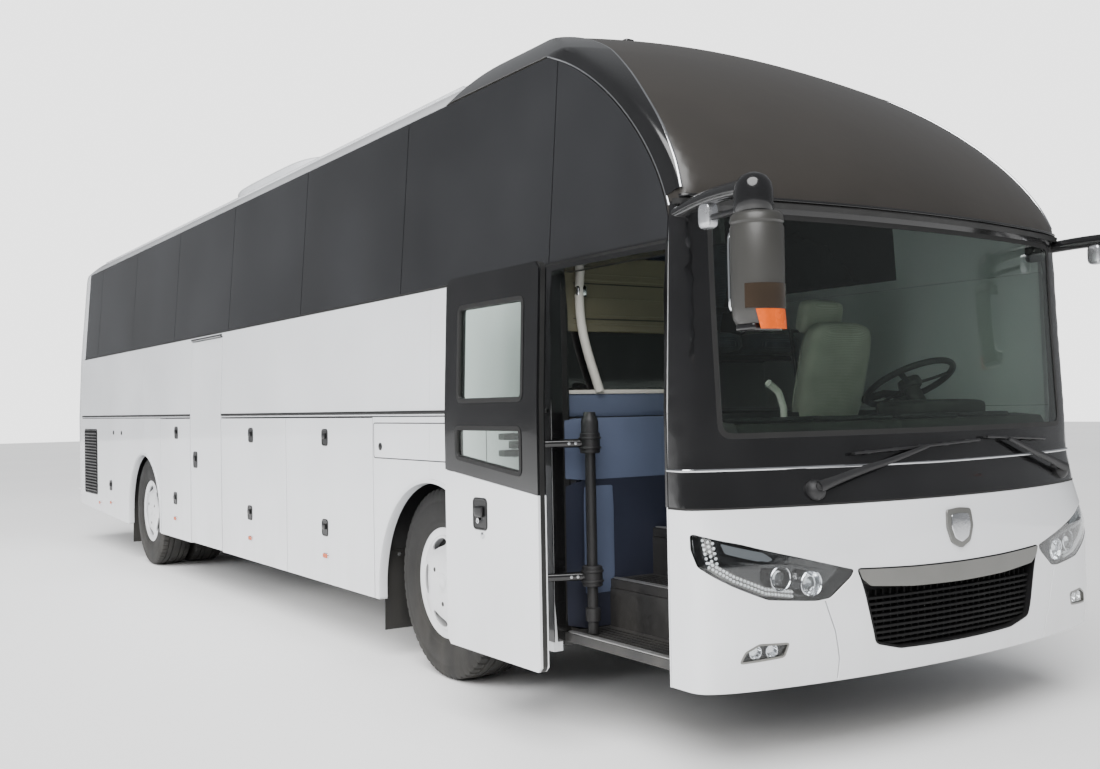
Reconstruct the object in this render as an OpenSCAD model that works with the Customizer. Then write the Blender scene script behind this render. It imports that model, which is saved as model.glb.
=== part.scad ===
// High-floor touring coach, parked with its front passenger door swung open.
// Frame: +X forward, +Y left, +Z up, origin on the ground below the middle of the body. Millimetres.

/* [Body] */
// Length from the nose to the tail
body_length = 11850; // [11600:50:12100]
// Width over the side panels
body_width = 2550; // [2450:10:2600]
// Height of the roof crown
roof_z = 3430; // [3380:10:3500]
// Height of the top of the front dome
dome_z = 3580; // [3560:10:3640]
// Height of the lower edge of the skirts
skirt_z = 356; // [340:2:380]
// Height of the black moulding along the sides
waist_z = 1457; // [1440:1:1470]
// Height of the lower edge of the side glass
glass_low_z = 2130; // [2120:5:2160]
// Height of the upper edge of the side glass
glass_high_z = 3125; // [3100:5:3140]
// Thickness of the body walls
wall = 50; // [40:2:60]

/* [Wheels] */
// Distance between the axles
wheelbase = 6050; // [5950:10:6150]
// Distance from the nose to the front axle
front_overhang = 2430; // [2400:10:2460]
// Outer radius of the tyres
tyre_r = 522; // [510:1:525]
// Width of one tyre
tyre_w = 288; // [280:2:295]
// Distance from the middle plane to a front tyre's middle
front_track_half = 1060; // [1050:2:1066]
// Distance from the middle plane to a kingpin
kingpin_y = 900; // [880:5:905]
// Distance from the middle plane to the outer rear tyre's middle
rear_track_half = 1078; // [1070:2:1082]
// Distance between the middles of twin tyres
twin_pitch = 328; // [320:2:336]
// Radius of the front wheel arches
front_arch_r = 665; // [660:1:680]
// Radius of the rear wheel arches
rear_arch_r = 592; // [588:1:600]
// Height of the top of the wheel arches
arch_top_z = 1077; // [1072:1:1090]

/* [Doors] */
// Width of the passenger door's opening
doorway_w = 830; // [820:5:840]
// Distance from the front axle forward to the doorway
doorway_from_axle = 1195; // [1190:5:1220]
// Height of the top of the doorway
doorway_top_z = 2098; // [2080:2:2110]
// Gap round each door and lid
door_gap = 10; // [8:1:12]
// Thickness of each door and lid
leaf = 45; // [40:1:48]
// Length of the passenger door's swing arms
arm_length = 334; // [330:1:338]
// Angle that the arms turn through from closed to open
arm_swing = 113; // [110:1:115]

/* [Cabin] */
// Height of the cabin floor
floor_z = 1420; // [1400:10:1430]
// Height of the floor beside the driver
driver_floor_z = 880; // [860:10:900]
// Distance between rows of passenger seats
seat_pitch = 790; // [780:10:800]
// Distance between the side windows' seams
pane_pitch = 1550; // [1540:5:1560]

/* [Hidden] */
$fn = 64;
eps = 1;
big = 8000;

// Stations along the body.
mirror_reach = 310;
nose_x = (body_length - mirror_reach) / 2;
tail_x = nose_x - body_length;
front_axle_x = nose_x - front_overhang;
rear_axle_x = front_axle_x - wheelbase;
side_y = body_width / 2;
doorway_x0 = front_axle_x + doorway_from_axle;
doorway_x1 = doorway_x0 + doorway_w;
front_face_x = doorway_x1 + 8;
rear_face_x = tail_x + 560;
mid_door_x0 = front_axle_x - 4455;
mid_door_x1 = front_axle_x - 3630;
mid_door_top_z = 2090;
bay_split_x = front_axle_x - 2170;
bay_front_x = front_axle_x - 725;
service_x0 = rear_axle_x + rear_arch_r + 35;
service_x1 = mid_door_x0 - 30;
bay_top_z = waist_z - 22;
dome_back_x = front_axle_x + 60;
glass_t = 10;
seam = 2;

// Outline of the body seen from the side: nose, dome, roof and tail, inset by t.
function bezier(p0, p1, p2, p3, n) =
    [for (i = [0 : n]) let (u = i / n, v = 1 - u)
        v * v * v * p0 + 3 * v * v * u * p1 + 3 * v * u * u * p2 + u * u * u * p3];
visor_z = 2287;
visor_x = nose_x - 160;
function nose_points(t) = [
    [nose_x - 40 - t, 330], [nose_x - 15 - t, 430], [nose_x - t, 560],
    [nose_x - t, 860], [nose_x - 3 - t, 930], [nose_x - 20 - t, 1062],
    [nose_x - 95 - t, 1210], [nose_x - 112 - t, 1335], [nose_x - 175 - t, 2240],
    [visor_x - t, visor_z]
];
function dome_curve(t) = bezier(
    [visor_x - t, visor_z], [visor_x - 50 - t, 2640 - t],
    [nose_x - 1030 - t, 3420 - t], [dome_back_x, dome_z - t], 14);
function tail_points(t) = [
    [tail_x + 40 + t, 430], [tail_x + t, 1000], [tail_x + t, 1500], [tail_x + 20 + t, 2000],
    [tail_x + 120 + t, roof_z - 330], [tail_x + 150 + t, roof_z - 220 - t],
    [tail_x + 205 + t, roof_z - 120 - t], [tail_x + 300, roof_z - 50 - t],
    [tail_x + 430, roof_z - 14 - t], [tail_x + 640, roof_z - 1 - t]
];

// Plan of an end: part of its depth is a bow over the whole width, the rest a rounded corner.
// u runs from 0 on the middle plane to 1 on the side; the result runs from 0 to 1.
function end_drop(u, bow, power) =
    bow * u * u + (1 - bow) * (1 - pow(1 - pow(u, power), 1 / power));
half_stations = [0, 0.15, 0.3, 0.45, 0.6, 0.72, 0.82, 0.89, 0.94, 0.97, 0.988, 0.997, 1];
function end_row(x, side_x, half, s, far_x, z, bow, power) =
    let (n = len(half_stations) - 1)
    concat(
        [for (i = [-n : n]) let (u = half_stations[abs(i)])
            [x + (side_x - x) * end_drop(u, bow, power), s * sign(i) * u * half, z]],
        [[far_x, s * half, z], [far_x, -s * half, z]]);
// Solid through a stack of such rows, lowest first.
module row_solid(rows) {
    m = len(rows[0]);
    last = (len(rows) - 1) * m;
    points = [for (row = rows) for (p = row) p];
    low = [for (i = [0 : m - 1]) i];
    high = [for (i = [m - 1 : -1 : 0]) last + i];
    walls = [for (j = [0 : len(rows) - 2]) for (i = [0 : m - 1]) let (
        a = j * m + i, b = j * m + (i + 1) % m)
        each [[a, a + m, b + m], [a, b + m, b]]];
    polyhedron(points, concat([low, high], walls));
}

// Cross-section: upright below the waist, leaning in above it, arched roof.
lean_glass_low = 25;
lean_glass_high = 100;
function roof_arch(z, drop, half, power, n) =
    [for (i = [-n : n]) let (y = -half * i / n) [y, z - drop * pow(abs(i) / n, power)]];
module section_solid(t, crown, power) {
    half = side_y - lean_glass_high - t;
    rotate([90, 0, 90])
        linear_extrude(2 * big, center = true)
            polygon(concat(
                [[-side_y + t, 0], [side_y - t, 0], [side_y - t, waist_z],
                 [side_y - lean_glass_low - t, glass_low_z]],
                roof_arch(crown - t, crown - glass_high_z, half, power, 12),
                [[-side_y + lean_glass_low + t, glass_low_z], [-side_y + t, waist_z]]));
}
function half_width(z, crown, power) =
    z <= waist_z ? side_y
    : z <= glass_low_z ? side_y - lean_glass_low * (z - waist_z) / (glass_low_z - waist_z)
    : z <= glass_high_z ? side_y - lean_glass_low
        - (lean_glass_high - lean_glass_low) * (z - glass_low_z) / (glass_high_z - glass_low_z)
    : (side_y - lean_glass_high) * pow((crown - z) / (crown - glass_high_z), 1 / power);
roof_power = 4.2;
dome_power = 2.6;
// The bumper is flatter across than the panels above it.
function nose_bow(z) = 0.42 + 0.18 * max(0, min(1, (z - 860) / 202));
nose_power = 8;
tail_bow = 0.3;
tail_power = 5;
// Nose and dome: below the visor every row meets the side at the doorway's edge.
module nose_solid(t) {
    lower = nose_points(t);
    upper = dome_curve(t);
    row_solid(concat(
        [for (p = lower) end_row(p.x, front_face_x, half_width(p.y, dome_z, dome_power) - t,
            1, dome_back_x - 1000, p.y, nose_bow(p.y), nose_power)],
        [for (i = [1 : len(upper) - 2]) let (p = upper[i], z = min(p.y + t, dome_z - 1))
            end_row(p.x, p.x - 222 - 0.12 * (z - visor_z), half_width(z, dome_z, dome_power) - t,
                1, dome_back_x - 1000, p.y, nose_bow(p.y), nose_power)]));
}
module tail_solid(t) {
    row_solid([for (p = tail_points(t))
        end_row(p.x, max(rear_face_x, p.x + 60),
            half_width(p.y > roof_z - 310 ? p.y + t : p.y, roof_z, roof_power) - t,
            -1, rear_face_x + 1000, p.y, tail_bow, tail_power)]);
}
// The wall between depth t0 and t1 below the outer surface, in three stretches of the body.
module shell(t0, t1) {
    difference() {
        section_solid(t0, roof_z, roof_power);
        section_solid(t1, roof_z, roof_power);
    }
}
module nose_shell(t0, t1) {
    difference() {
        nose_solid(t0);
        nose_solid(t1);
    }
}
module tail_shell(t0, t1) {
    difference() {
        tail_solid(t0);
        tail_solid(t1);
    }
}

// A box from its lowest and highest corner.
module span(a, b) {
    translate(a) cube(b - a);
}
// A box that lies on the left for s = 1 and on the right for s = -1.
module side_span(s, a, b) {
    if (s > 0) span(a, b);
    else mirror([0, 1, 0]) span(a, b);
}

// Line on the side where the dome meets the side glass.
dome_low_z = 2227;
dome_side_z = glass_high_z + 6;
function dome_edge(dx) = bezier(
    [front_face_x + dx, dome_low_z], [nose_x - 490 + dx, 2560],
    [nose_x - 930 + dx, 2980], [nose_x - 1370 + dx, dome_side_z], 12);
// Everything on the body above and ahead of that line.
module dome_zone(dx) {
    rotate([90, 0, 0])
        linear_extrude(2 * big, center = true)
            polygon(concat(dome_edge(dx),
                [[dome_back_x, dome_side_z], [dome_back_x, big], [big, big], [big, dome_low_z]]));
}
// ---- Body shell ----
pillar = 90;
module pane_span(i, cut) {
    x1 = front_axle_x - 380 - i * pane_pitch;
    translate([x1 - pane_pitch + cut, -big, 0]) cube([pane_pitch - 2 * cut, 2 * big, big]);
}
module window_band(grow) {
    span([tail_x + 640 - grow, -big, glass_low_z - grow],
         [front_face_x, big, glass_high_z + grow]);
}
module arch_cut(x, r, s) {
    z = arch_top_z - r;
    translate([x, s * side_y, z]) rotate([90, 0, 0]) cylinder(h = 400, r = r, center = true);
    side_span(s, [x - r, side_y - 200, 0], [x + r, side_y + 200, z]);
}
module wall_zone(s) {
    side_span(s, [rear_face_x, 900, skirt_z], [front_face_x - eps, side_y + 50, glass_high_z + 5]);
}
module opening(s, x0, x1, z0, z1) {
    side_span(s, [x0, side_y - 250, z0], [x1, side_y + 100, z1]);
}
module side_panel(s) {
    difference() {
        intersection() {
            shell(0, wall);
            wall_zone(s);
        }
        dome_zone(-30);
        // the glass lies flush in a rebate, with window openings behind it
        intersection() {
            shell(-eps, glass_t);
            window_band(6);
        }
        for (i = [-1 : 5])
            intersection() {
                pane_span(i, pillar / 2);
                span([tail_x + 700, -big, glass_low_z + 40],
                     [front_face_x - 60, big, glass_high_z - 70]);
            }
        arch_cut(front_axle_x, front_arch_r, s);
        arch_cut(rear_axle_x, rear_arch_r, s);
        opening(s, mid_door_x1 + door_gap, bay_split_x - door_gap / 2, 0, bay_top_z);
        opening(s, bay_split_x + door_gap / 2 - 20, bay_front_x, 0, bay_top_z);
        // rising lower edge behind the rear wheel
        translate([rear_axle_x - 700, -big, skirt_z - 300])
            rotate([0, 2.1, 0]) translate([-big, 0, 0]) cube([big, 2 * big, 300]);
        // joints between the skirt, the waist panel and the window frame
        for (z = [bay_top_z, glass_low_z - 12])
            side_span(s, [tail_x, 900, z], [front_face_x, side_y + 50, z + seam]);
        for (x = [rear_axle_x, front_axle_x])
            side_span(s, [x, 900, 0], [x + seam, side_y + 50, glass_low_z - 12]);
        if (s < 0) {
            opening(s, doorway_x0, doorway_x1, 0, doorway_top_z);
            for (x = [mid_door_x0 - 2 * door_gap, doorway_x0 - seam])
                side_span(s, [x, 900, 0], [x + seam, side_y + 50, glass_low_z]);
            opening(s, mid_door_x0 - door_gap, mid_door_x1 + door_gap + 5, 0, mid_door_top_z);
            opening(s, service_x0 - door_gap, service_x1 + door_gap, 0, bay_top_z);
        }
    }
}
module left_side_panel() {
    color("whitesmoke") side_panel(1);
}
module right_side_panel() {
    color("whitesmoke") side_panel(-1);
}

module roof_panel() {
    color("whitesmoke") {
        intersection() {
            shell(0, wall);
            span([rear_face_x, -big, glass_high_z + 6], [dome_back_x - eps, big, big]);
        }
        intersection() {
            tail_shell(0, wall);
            span([tail_x - 50, -big, 3200], [rear_face_x + eps, big, big]);
        }
    }
}

module front_dome() {
    color([0.13, 0.11, 0.1]) {
        intersection() {
            nose_shell(0, wall);
            dome_zone(0);
            union() {
                span([dome_back_x, -big, visor_z], [big, big, big]);
                span([dome_back_x, -big, dome_low_z + eps], [front_face_x - eps, big, big]);
            }
        }
        // rear closing wall of the raised cap
        intersection() {
            nose_solid(wall - eps);
            span([dome_back_x, -big, roof_z - 45], [dome_back_x + 40, big, big]);
        }
        // camera on the crown
        translate([front_axle_x + 150, 0, dome_z - 30]) cylinder(h = 100, r = 48);
    }
}

ws_half_y = 1130;
ws_low_z = 1335;
ws_high_z = 2240;
module windshield() {
    color([0.25, 0.3, 0.32, 0.5])
        intersection() {
            nose_shell(2, 14);
            span([front_face_x, -ws_half_y + 6, ws_low_z + 6], [big, ws_half_y - 6, ws_high_z - 6]);
        }
}
cowl_z = 1062;
module front_cowl() {
    color([0.08, 0.08, 0.09])
        difference() {
            intersection() {
                nose_shell(0, wall);
                span([front_face_x, -big, cowl_z], [big, big, visor_z - eps]);
            }
            span([front_face_x, -ws_half_y, ws_low_z], [big, ws_half_y, ws_high_z]);
        }
}

// ---- Nose ----
module lamp_outline(grow) {
    offset(delta = grow)
        polygon([[625, 803], [875, 862], [1116, 925], [1250, 955], [1250, 850], [1165, 772],
                 [1020, 708], [800, 688], [735, 694], [640, 765]]);
}
module grille_outline(grow) {
    offset(delta = grow)
        polygon([[-575, 783], [-585, 745], [-505, 488], [-365, 456],
                 [365, 456], [505, 488], [585, 745], [575, 783]]);
}
module fog_outline(grow) {
    offset(delta = grow)
        polygon([[925, 535], [1055, 542], [1110, 515], [1130, 472], [945, 482]]);
}
// A face outline in Y and Z, carried along X through the nose.
module through_nose() {
    translate([5200, 0, 0]) rotate([90, 0, 90]) linear_extrude(1000) children();
}
module nose_cuts(grow) {
    through_nose() grille_outline(grow);
    for (m = [0, 1]) mirror([0, m, 0]) {
        through_nose() lamp_outline(grow);
        through_nose() fog_outline(grow);
    }
}
module front_panel() {
    color("whitesmoke")
        difference() {
            intersection() {
                nose_shell(0, wall);
                span([front_face_x, -big, skirt_z], [big, big, cowl_z - eps]);
            }
            nose_cuts(0);
        }
}
module grille() {
    color([0.12, 0.12, 0.13])
        intersection() {
            nose_shell(10, 40);
            through_nose() grille_outline(-3);
        }
}
module front_lamps() {
    color([0.8, 0.82, 0.85])
        for (m = [0, 1]) mirror([0, m, 0]) {
            intersection() {
                nose_shell(2, 45);
                through_nose() lamp_outline(-3);
                span([front_face_x + 20, 300, 0], [big, big, big]);
            }
            intersection() {
                nose_shell(4, 40);
                through_nose() fog_outline(-3);
                span([front_face_x + 20, 300, 0], [big, big, big]);
            }
        }
}

// ---- Tail ----
lid_half = 900;
lid_low_z = 620;
lid_high_z = 1560;
rear_glass_half = 980;
module rear_window_cut(g) {
    span([tail_x - 100, -rear_glass_half + g, 2080 + g],
         [tail_x + 420, rear_glass_half - g, 2960 - g]);
}
module tail_lamp_cut(s, g) {
    side_span(s, [tail_x - 100, 985 + g, 900 + g], [tail_x + 330, 1130 - g, 1700 - g]);
}
module lid_cut(g) {
    span([tail_x - 100, -lid_half + g, lid_low_z + g], [tail_x + 200, lid_half - g, lid_high_z - g]);
}
module rear_panel() {
    color("whitesmoke")
        difference() {
            intersection() {
                tail_shell(0, wall);
                span([tail_x - 50, -big, 440], [rear_face_x - eps, big, 3200 - eps]);
            }
            rear_window_cut(0);
            lid_cut(-1);
            for (s = [-1, 1]) tail_lamp_cut(s, 0);
        }
}
module rear_window() {
    color([0.1, 0.11, 0.12])
        intersection() {
            tail_shell(2, 14);
            rear_window_cut(5);
        }
}
module tail_lamps() {
    color("firebrick")
        for (s = [-1, 1])
            intersection() {
                tail_shell(0, 40);
                tail_lamp_cut(s, 4);
            }
}
module engine_lid() {
    color("whitesmoke")
        intersection() {
            tail_shell(0, leaf);
            lid_cut(door_gap);
        }
}

module side_windows() {
    color([0.06, 0.07, 0.08])
        difference() {
            for (i = [-2 : 5])
                intersection() {
                    shell(0, glass_t - 2);
                    window_band(0);
                    pane_span(i, 4);
                }
            dome_zone(-34);
        }
}

module air_conditioner() {
    color("whitesmoke")
        difference() {
            hull() {
                span([-1900, -700, roof_z - 30], [300, 700, roof_z - 5]);
                span([-1800, -480, roof_z], [150, 480, roof_z + 130]);
            }
            section_solid(-eps, roof_z, roof_power);
        }
}

// ---- Below the floor ----
module chassis_frame() {
    color([0.16, 0.16, 0.17]) {
        rails();
        for (x = [tail_x + 330, tail_x + 1900, rear_axle_x + 900, mid_door_x1 + 60,
                  bay_split_x + 30, bay_front_x - 120, front_axle_x + 900, nose_x - 500])
            span([x, -400, 640], [x + 80, 400, 780]);
    }
}
well_in_y = 545;
deck_z = floor_z - 60;
step_in_y = -430;
module rails() {
    for (s = [-1, 1])
        side_span(s, [tail_x + 330, 400, 620], [nose_x - 420, 470, 800]);
}
module cabin_floor() {
    color([0.35, 0.33, 0.31]) {
        // deck: behind, beside and ahead of the middle stair well
        span([tail_x + 330, -1180, deck_z], [mid_door_x0 - 22, 1180, floor_z]);
        span([mid_door_x0 - 20, -478, deck_z], [mid_door_x1 + 18, 1180, floor_z]);
        span([mid_door_x1 + 20, -1180, deck_z], [doorway_x0 - 64, 1180, floor_z]);
        // driver's platform, and the riser between both floors
        span([doorway_x0 - 62, step_in_y + 2, driver_floor_z - 60],
             [front_face_x + 60, 1180, driver_floor_z]);
        span([doorway_x0 - 62, step_in_y + 2, driver_floor_z + 2], [doorway_x0 - 12, 1180, floor_z]);
        entrance_steps();
        middle_steps();
        for (s = [-1, 1]) {
            well(front_axle_x, front_arch_r + 15, s);
            well(rear_axle_x, rear_arch_r + 15, s);
        }
    }
}
// Entrance: three treads with risers between them, and a wall at each side.
tread = 255;
rise = 220;
module entrance_steps() {
    for (i = [0 : 2])
        span([doorway_x0 + 2, -1215 + (tread + 5) * i, 400 + rise * i],
             [front_face_x - 64, -960 + (tread + 5) * i, 440 + rise * i]);
    for (i = [0 : 1])
        span([doorway_x0 + 2, -958 + (tread + 5) * i, 400 + rise * i],
             [front_face_x - 64, -930 + (tread + 5) * i, 398 + rise * (i + 1)]);
    span([doorway_x0 - 60, -1215, 380], [doorway_x0, -472, floor_z]);
    span([front_face_x - 62, -1215, 380], [front_face_x - 22, -472, driver_floor_z - 62]);
}
module middle_steps() {
    for (i = [0 : 3])
        span([mid_door_x0 - 3, -1215 + 183 * i, 400 + 250 * i],
             [mid_door_x1 + 1, -1036 + 183 * i, 430 + 250 * i]);
    for (x = [mid_door_x0 - 20, mid_door_x1 + 3])
        span([x, -1215, 380], [x + 15, -480, deck_z - 2]);
}
module well(x, r, s) {
    side_span(s, [x - r, well_in_y - 20, 700], [x + r, well_in_y, deck_z - 2]);
    for (wall_x = [x - r - 20, x + r + 2])
        side_span(s, [wall_x, well_in_y, 500], [wall_x + 18, side_y - wall - 8, deck_z - 2]);
}
module luggage_hold() {
    color([0.5, 0.5, 0.5]) {
        span([mid_door_x1 + 20, -1190, 420], [bay_front_x + 10, 1190, 448]);
        for (x = [mid_door_x1 + 20, bay_split_x - 15, bay_front_x - 10])
            for (y = [[-1190, -480], [-390, 390], [480, 1190]])
                span([x, y[0], 450], [x + 20, y[1], deck_z - 2]);
    }
}
module engine_block() {
    color([0.3, 0.3, 0.32]) span([tail_x + 475, -390, 560], [tail_x + 1775, 390, 1330]);
}
module mudflaps() {
    color([0.07, 0.07, 0.07])
        for (s = [-1, 1]) {
            side_span(s, [front_axle_x - front_arch_r - 14, 880, 170],
                      [front_axle_x - front_arch_r - 4, 1200, 640]);
            side_span(s, [rear_axle_x - rear_arch_r - 14, 620, 190],
                      [rear_axle_x - rear_arch_r - 4, 1200, 640]);
        }
}

// ---- Axles and wheels ----
rim_r = 285;
module y_cylinder(x, y0, y1, z, r) {
    translate([x, y0, z]) rotate([-90, 0, 0]) cylinder(h = y1 - y0, r = r);
}
module front_axle() {
    color([0.2, 0.2, 0.2]) {
        span([front_axle_x - 60, -kingpin_y + 110, 400], [front_axle_x + 60, kingpin_y - 110, 520]);
        for (s = [-1, 1]) {
            side_span(s, [front_axle_x - 60, kingpin_y - 160, 400],
                      [front_axle_x + 60, kingpin_y - 110, 660]);
            side_span(s, [front_axle_x - 45, kingpin_y - 140, 600],
                      [front_axle_x + 45, kingpin_y + 45, 650]);
            side_span(s, [front_axle_x - 45, kingpin_y - 140, 400],
                      [front_axle_x + 45, kingpin_y + 45, 440]);
            side_span(s, [front_axle_x - 50, 415, 520], [front_axle_x + 50, 455, 618]);
        }
    }
}
module steering_knuckle(s) {
    color([0.25, 0.25, 0.25]) {
        translate([front_axle_x, s * kingpin_y, 446]) cylinder(h = 148, r = 40);
        y_cylinder(front_axle_x, s > 0 ? kingpin_y + 5 : -front_track_half - 60,
                   s > 0 ? front_track_half + 60 : -kingpin_y - 5, tyre_r, 42);
    }
}
module tyre(y) {
    hw = tyre_w / 2;
    translate([0, y, tyre_r])
        rotate([90, 0, 0])
            rotate_extrude($fn = 96)
                polygon([[rim_r, -hw + 30], [rim_r + 30, -hw + 12], [rim_r + 120, -hw],
                         [tyre_r - 45, -hw + 10], [tyre_r - 12, -hw + 24], [tyre_r, -hw + 50],
                         [tyre_r, hw - 50], [tyre_r - 12, hw - 24], [tyre_r - 45, hw - 10],
                         [rim_r + 120, hw], [rim_r + 30, hw - 12], [rim_r, hw - 30]]);
}
// A wheel disc whose outer face points to +Y for s = 1; dish is the depth of the hub face.
module rim(y, s, face) {
    hw = tyre_w / 2 - 28;
    translate([0, y, tyre_r])
        rotate([s > 0 ? -90 : 90, 0, 0])
            rotate_extrude($fn = 96)
                polygon(concat(
                    [[46, face - 30], [170, face - 30], [250, face - 70], [rim_r - 22, face - 90],
                     [rim_r - 22, -hw], [rim_r - 1, -hw], [rim_r - 1, hw], [rim_r - 22, hw],
                     [rim_r - 22, face - 60], [170, face], [46, face]]));
}
module front_tyre(s) {
    color([0.05, 0.05, 0.05]) translate([front_axle_x, 0, 0]) tyre(s * front_track_half);
}
module front_rim(s) {
    color("silver") translate([front_axle_x, 0, 0]) {
        rim(s * front_track_half, s, 100);
        // hub with its rounded cover
        translate([0, s * (front_track_half + 65), tyre_r]) rotate([s > 0 ? -90 : 90, 0, 0])
            cylinder(h = 85, r1 = 130, r2 = 95);
    }
}
module rear_tyres(s) {
    color([0.05, 0.05, 0.05]) translate([rear_axle_x, 0, 0]) {
        tyre(s * rear_track_half);
        tyre(s * (rear_track_half - twin_pitch));
    }
}
module rear_rims(s) {
    color("silver") translate([rear_axle_x, 0, 0]) {
        rim(s * rear_track_half, -s, 125);
        rim(s * (rear_track_half - twin_pitch), s, 125);
        translate([0, s * (rear_track_half - twin_pitch / 2 - 80), tyre_r])
            rotate([s > 0 ? -90 : 90, 0, 0]) cylinder(h = 210, r = 118);
    }
}
module rear_axle() {
    color([0.2, 0.2, 0.2]) {
        y_cylinder(rear_axle_x, -826, 826, tyre_r, 80);
        translate([rear_axle_x, 0, tyre_r]) sphere(210, $fn = 48);
        translate([tail_x + 1777, 0, tyre_r + 60])
            rotate([0, 90, 0]) cylinder(h = rear_axle_x - 100 - tail_x - 1777, r = 50);
        for (s = [-1, 1])
            side_span(s, [rear_axle_x - 55, 400, tyre_r], [rear_axle_x + 55, 470, 618]);
    }
}

// ---- Passenger door: a leaf that two arms carry outwards round a post ----
leaf_x0 = doorway_x0 + door_gap;
leaf_x1 = doorway_x1 - door_gap;
leaf_z0 = skirt_z + 8;
leaf_z1 = doorway_top_z - door_gap;
post_y = -1150;
arm_closed = -1;
arm_open = arm_closed - arm_swing;
leaf_eye_x = leaf_x0 + 459;
post_x = leaf_eye_x - arm_length * cos(arm_closed);
eye_closed = [post_x + arm_length * cos(arm_closed), post_y + arm_length * sin(arm_closed)];
eye_open = [post_x + arm_length * cos(arm_open), post_y + arm_length * sin(arm_open)];
door_shift = [eye_open.x - eye_closed.x, eye_open.y - eye_closed.y, 0];
arm_low_z = 690;
arm_high_z = 1290;
module door_post() {
    color([0.1, 0.1, 0.1]) {
        translate([post_x, post_y, 446]) cylinder(h = 1000, r = 24);
        for (z = [arm_low_z, arm_high_z])
            translate([post_x, post_y, z]) rotate([0, 0, arm_open])
                translate([0, -16, 0]) cube([arm_length - 30, 32, 32]);
        for (z = [arm_low_z, arm_high_z])
            translate([eye_open.x, eye_open.y, z]) cylinder(h = 32, r = 34);
    }
}
module leaf_slab() {
    intersection() {
        shell(0, leaf);
        span([leaf_x0, -big, leaf_z0], [leaf_x1, -900, leaf_z1]);
    }
}
module door_windows(g) {
    span([leaf_x0 + 135 + g, -big, 1500 + g], [leaf_x1 - 115 - g, -900, 1945 - g]);
    translate([leaf_x0 + 135 + g, -900, 0]) rotate([90, 0, 0])
        linear_extrude(1000)
            polygon([[0, 1395 - g], [0, 1245 + g], [leaf_x1 - leaf_x0 - 250 - 2 * g, 1180 + g],
                     [leaf_x1 - leaf_x0 - 250 - 2 * g, 1395 - g]]);
}
module passenger_door() {
    color("whitesmoke") translate(door_shift) {
        difference() {
            leaf_slab();
            door_windows(0);
        }
        // brackets that the arms turn in
        for (z = [arm_low_z, arm_high_z]) {
            span([eye_closed.x - 30, -1235, z - 36], [eye_closed.x + 30, eye_closed.y + 30, z - 6]);
            span([eye_closed.x - 30, -1235, z + 38], [eye_closed.x + 30, eye_closed.y + 30, z + 68]);
        }
    }
}
module passenger_door_glass() {
    color([0.1, 0.11, 0.12]) translate(door_shift)
        intersection() {
            shell(4, 14);
            door_windows(2);
            span([leaf_x0, -big, leaf_z0], [leaf_x1, -900, leaf_z1]);
        }
}

// ---- Middle door, luggage doors and service door ----
module side_leaf(s, x0, x1, z0, z1) {
    intersection() {
        shell(0, leaf);
        side_span(s, [x0, 900, z0], [x1, side_y + 50, z1]);
    }
}
module middle_door() {
    color("whitesmoke")
        side_leaf(-1, mid_door_x0, mid_door_x1, skirt_z + 8, mid_door_top_z - door_gap);
}
module luggage_door(s, x0, x1) {
    color("whitesmoke") side_leaf(s, x0, x1, skirt_z, bay_top_z - door_gap);
}
module service_door() {
    color("whitesmoke")
        side_leaf(-1, service_x0, service_x1, skirt_z, bay_top_z - door_gap);
}

// ---- Cabin ----
module dashboard() {
    color([0.2, 0.2, 0.21]) {
        difference() {
            intersection() {
                nose_solid(wall + 12);
                union() {
                    span([nose_x - 620, 60, cowl_z + 60], [nose_x - 100, 1120, 1390]);
                    span([nose_x - 400, -1000, cowl_z + 60], [nose_x - 100, 62, 1390]);
                }
            }
            span([nose_x - 700, 300, 0], [nose_x - 450, 900, 1300]);
        }
        span([nose_x - 440, 510, driver_floor_z + 1], [nose_x - 360, 590, cowl_z + 80]);
        // steering column and wheel
        translate([nose_x - 700, 550, 1560]) rotate([0, -28, 0]) {
            rotate_extrude() translate([225, 0]) circle(16, $fn = 24);
            cylinder(h = 24, r = 60, center = true);
            for (a = [90, 210, 330]) rotate([0, 0, a]) translate([0, -14, -10]) cube([222, 28, 18]);
        }
        hull() {
            translate([nose_x - 700, 550, 1560]) rotate([0, -28, 0])
                translate([0, 0, -60]) cylinder(h = 50, r = 35);
            span([nose_x - 590, 510, 1280], [nose_x - 520, 590, 1330]);
        }
    }
}
module seat_outline() {
    polygon([[60, 0], [60, 330], [0, 360], [-20, 440], [430, 460], [450, 380], [380, 330],
             [380, 0]]);
}
module back_outline() {
    polygon([[-20, 440], [-180, 1080], [-80, 1110], [90, 450]]);
}
module double_seat(x, y, w) {
    translate([x, y + w / 2, floor_z]) rotate([90, 0, 0]) linear_extrude(w) {
        seat_outline();
        back_outline();
    }
}
seat_rows = 11;
first_seat_x = 3350;
module passenger_seats() {
    color([0.28, 0.3, 0.36])
        for (i = [0 : seat_rows - 1]) {
            x = first_seat_x - seat_pitch * i;
            double_seat(x, 680, 900);
            if (x + 450 < mid_door_x0 - 40 || x - 180 > mid_door_x1 + 60) double_seat(x, -680, 900);
        }
}
module driver_seat() {
    color([0.75, 0.74, 0.7])
        translate([nose_x - 1180, 550 + 250, driver_floor_z]) rotate([90, 0, 0])
            linear_extrude(500) {
                seat_outline();
                back_outline();
            }
}
module luggage_racks() {
    color([0.45, 0.44, 0.42])
        for (s = [-1, 1])
            intersection() {
                section_solid(wall + eps, roof_z, roof_power);
                side_span(s, [-4900, 800, 2780], [3300, 1250, 2860]);
            }
}
module driver_partition() {
    color([0.3, 0.3, 0.6])
        span([doorway_x0 - 95, -1140, floor_z + 2], [doorway_x0 - 65, -330, floor_z + 760]);
}

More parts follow.
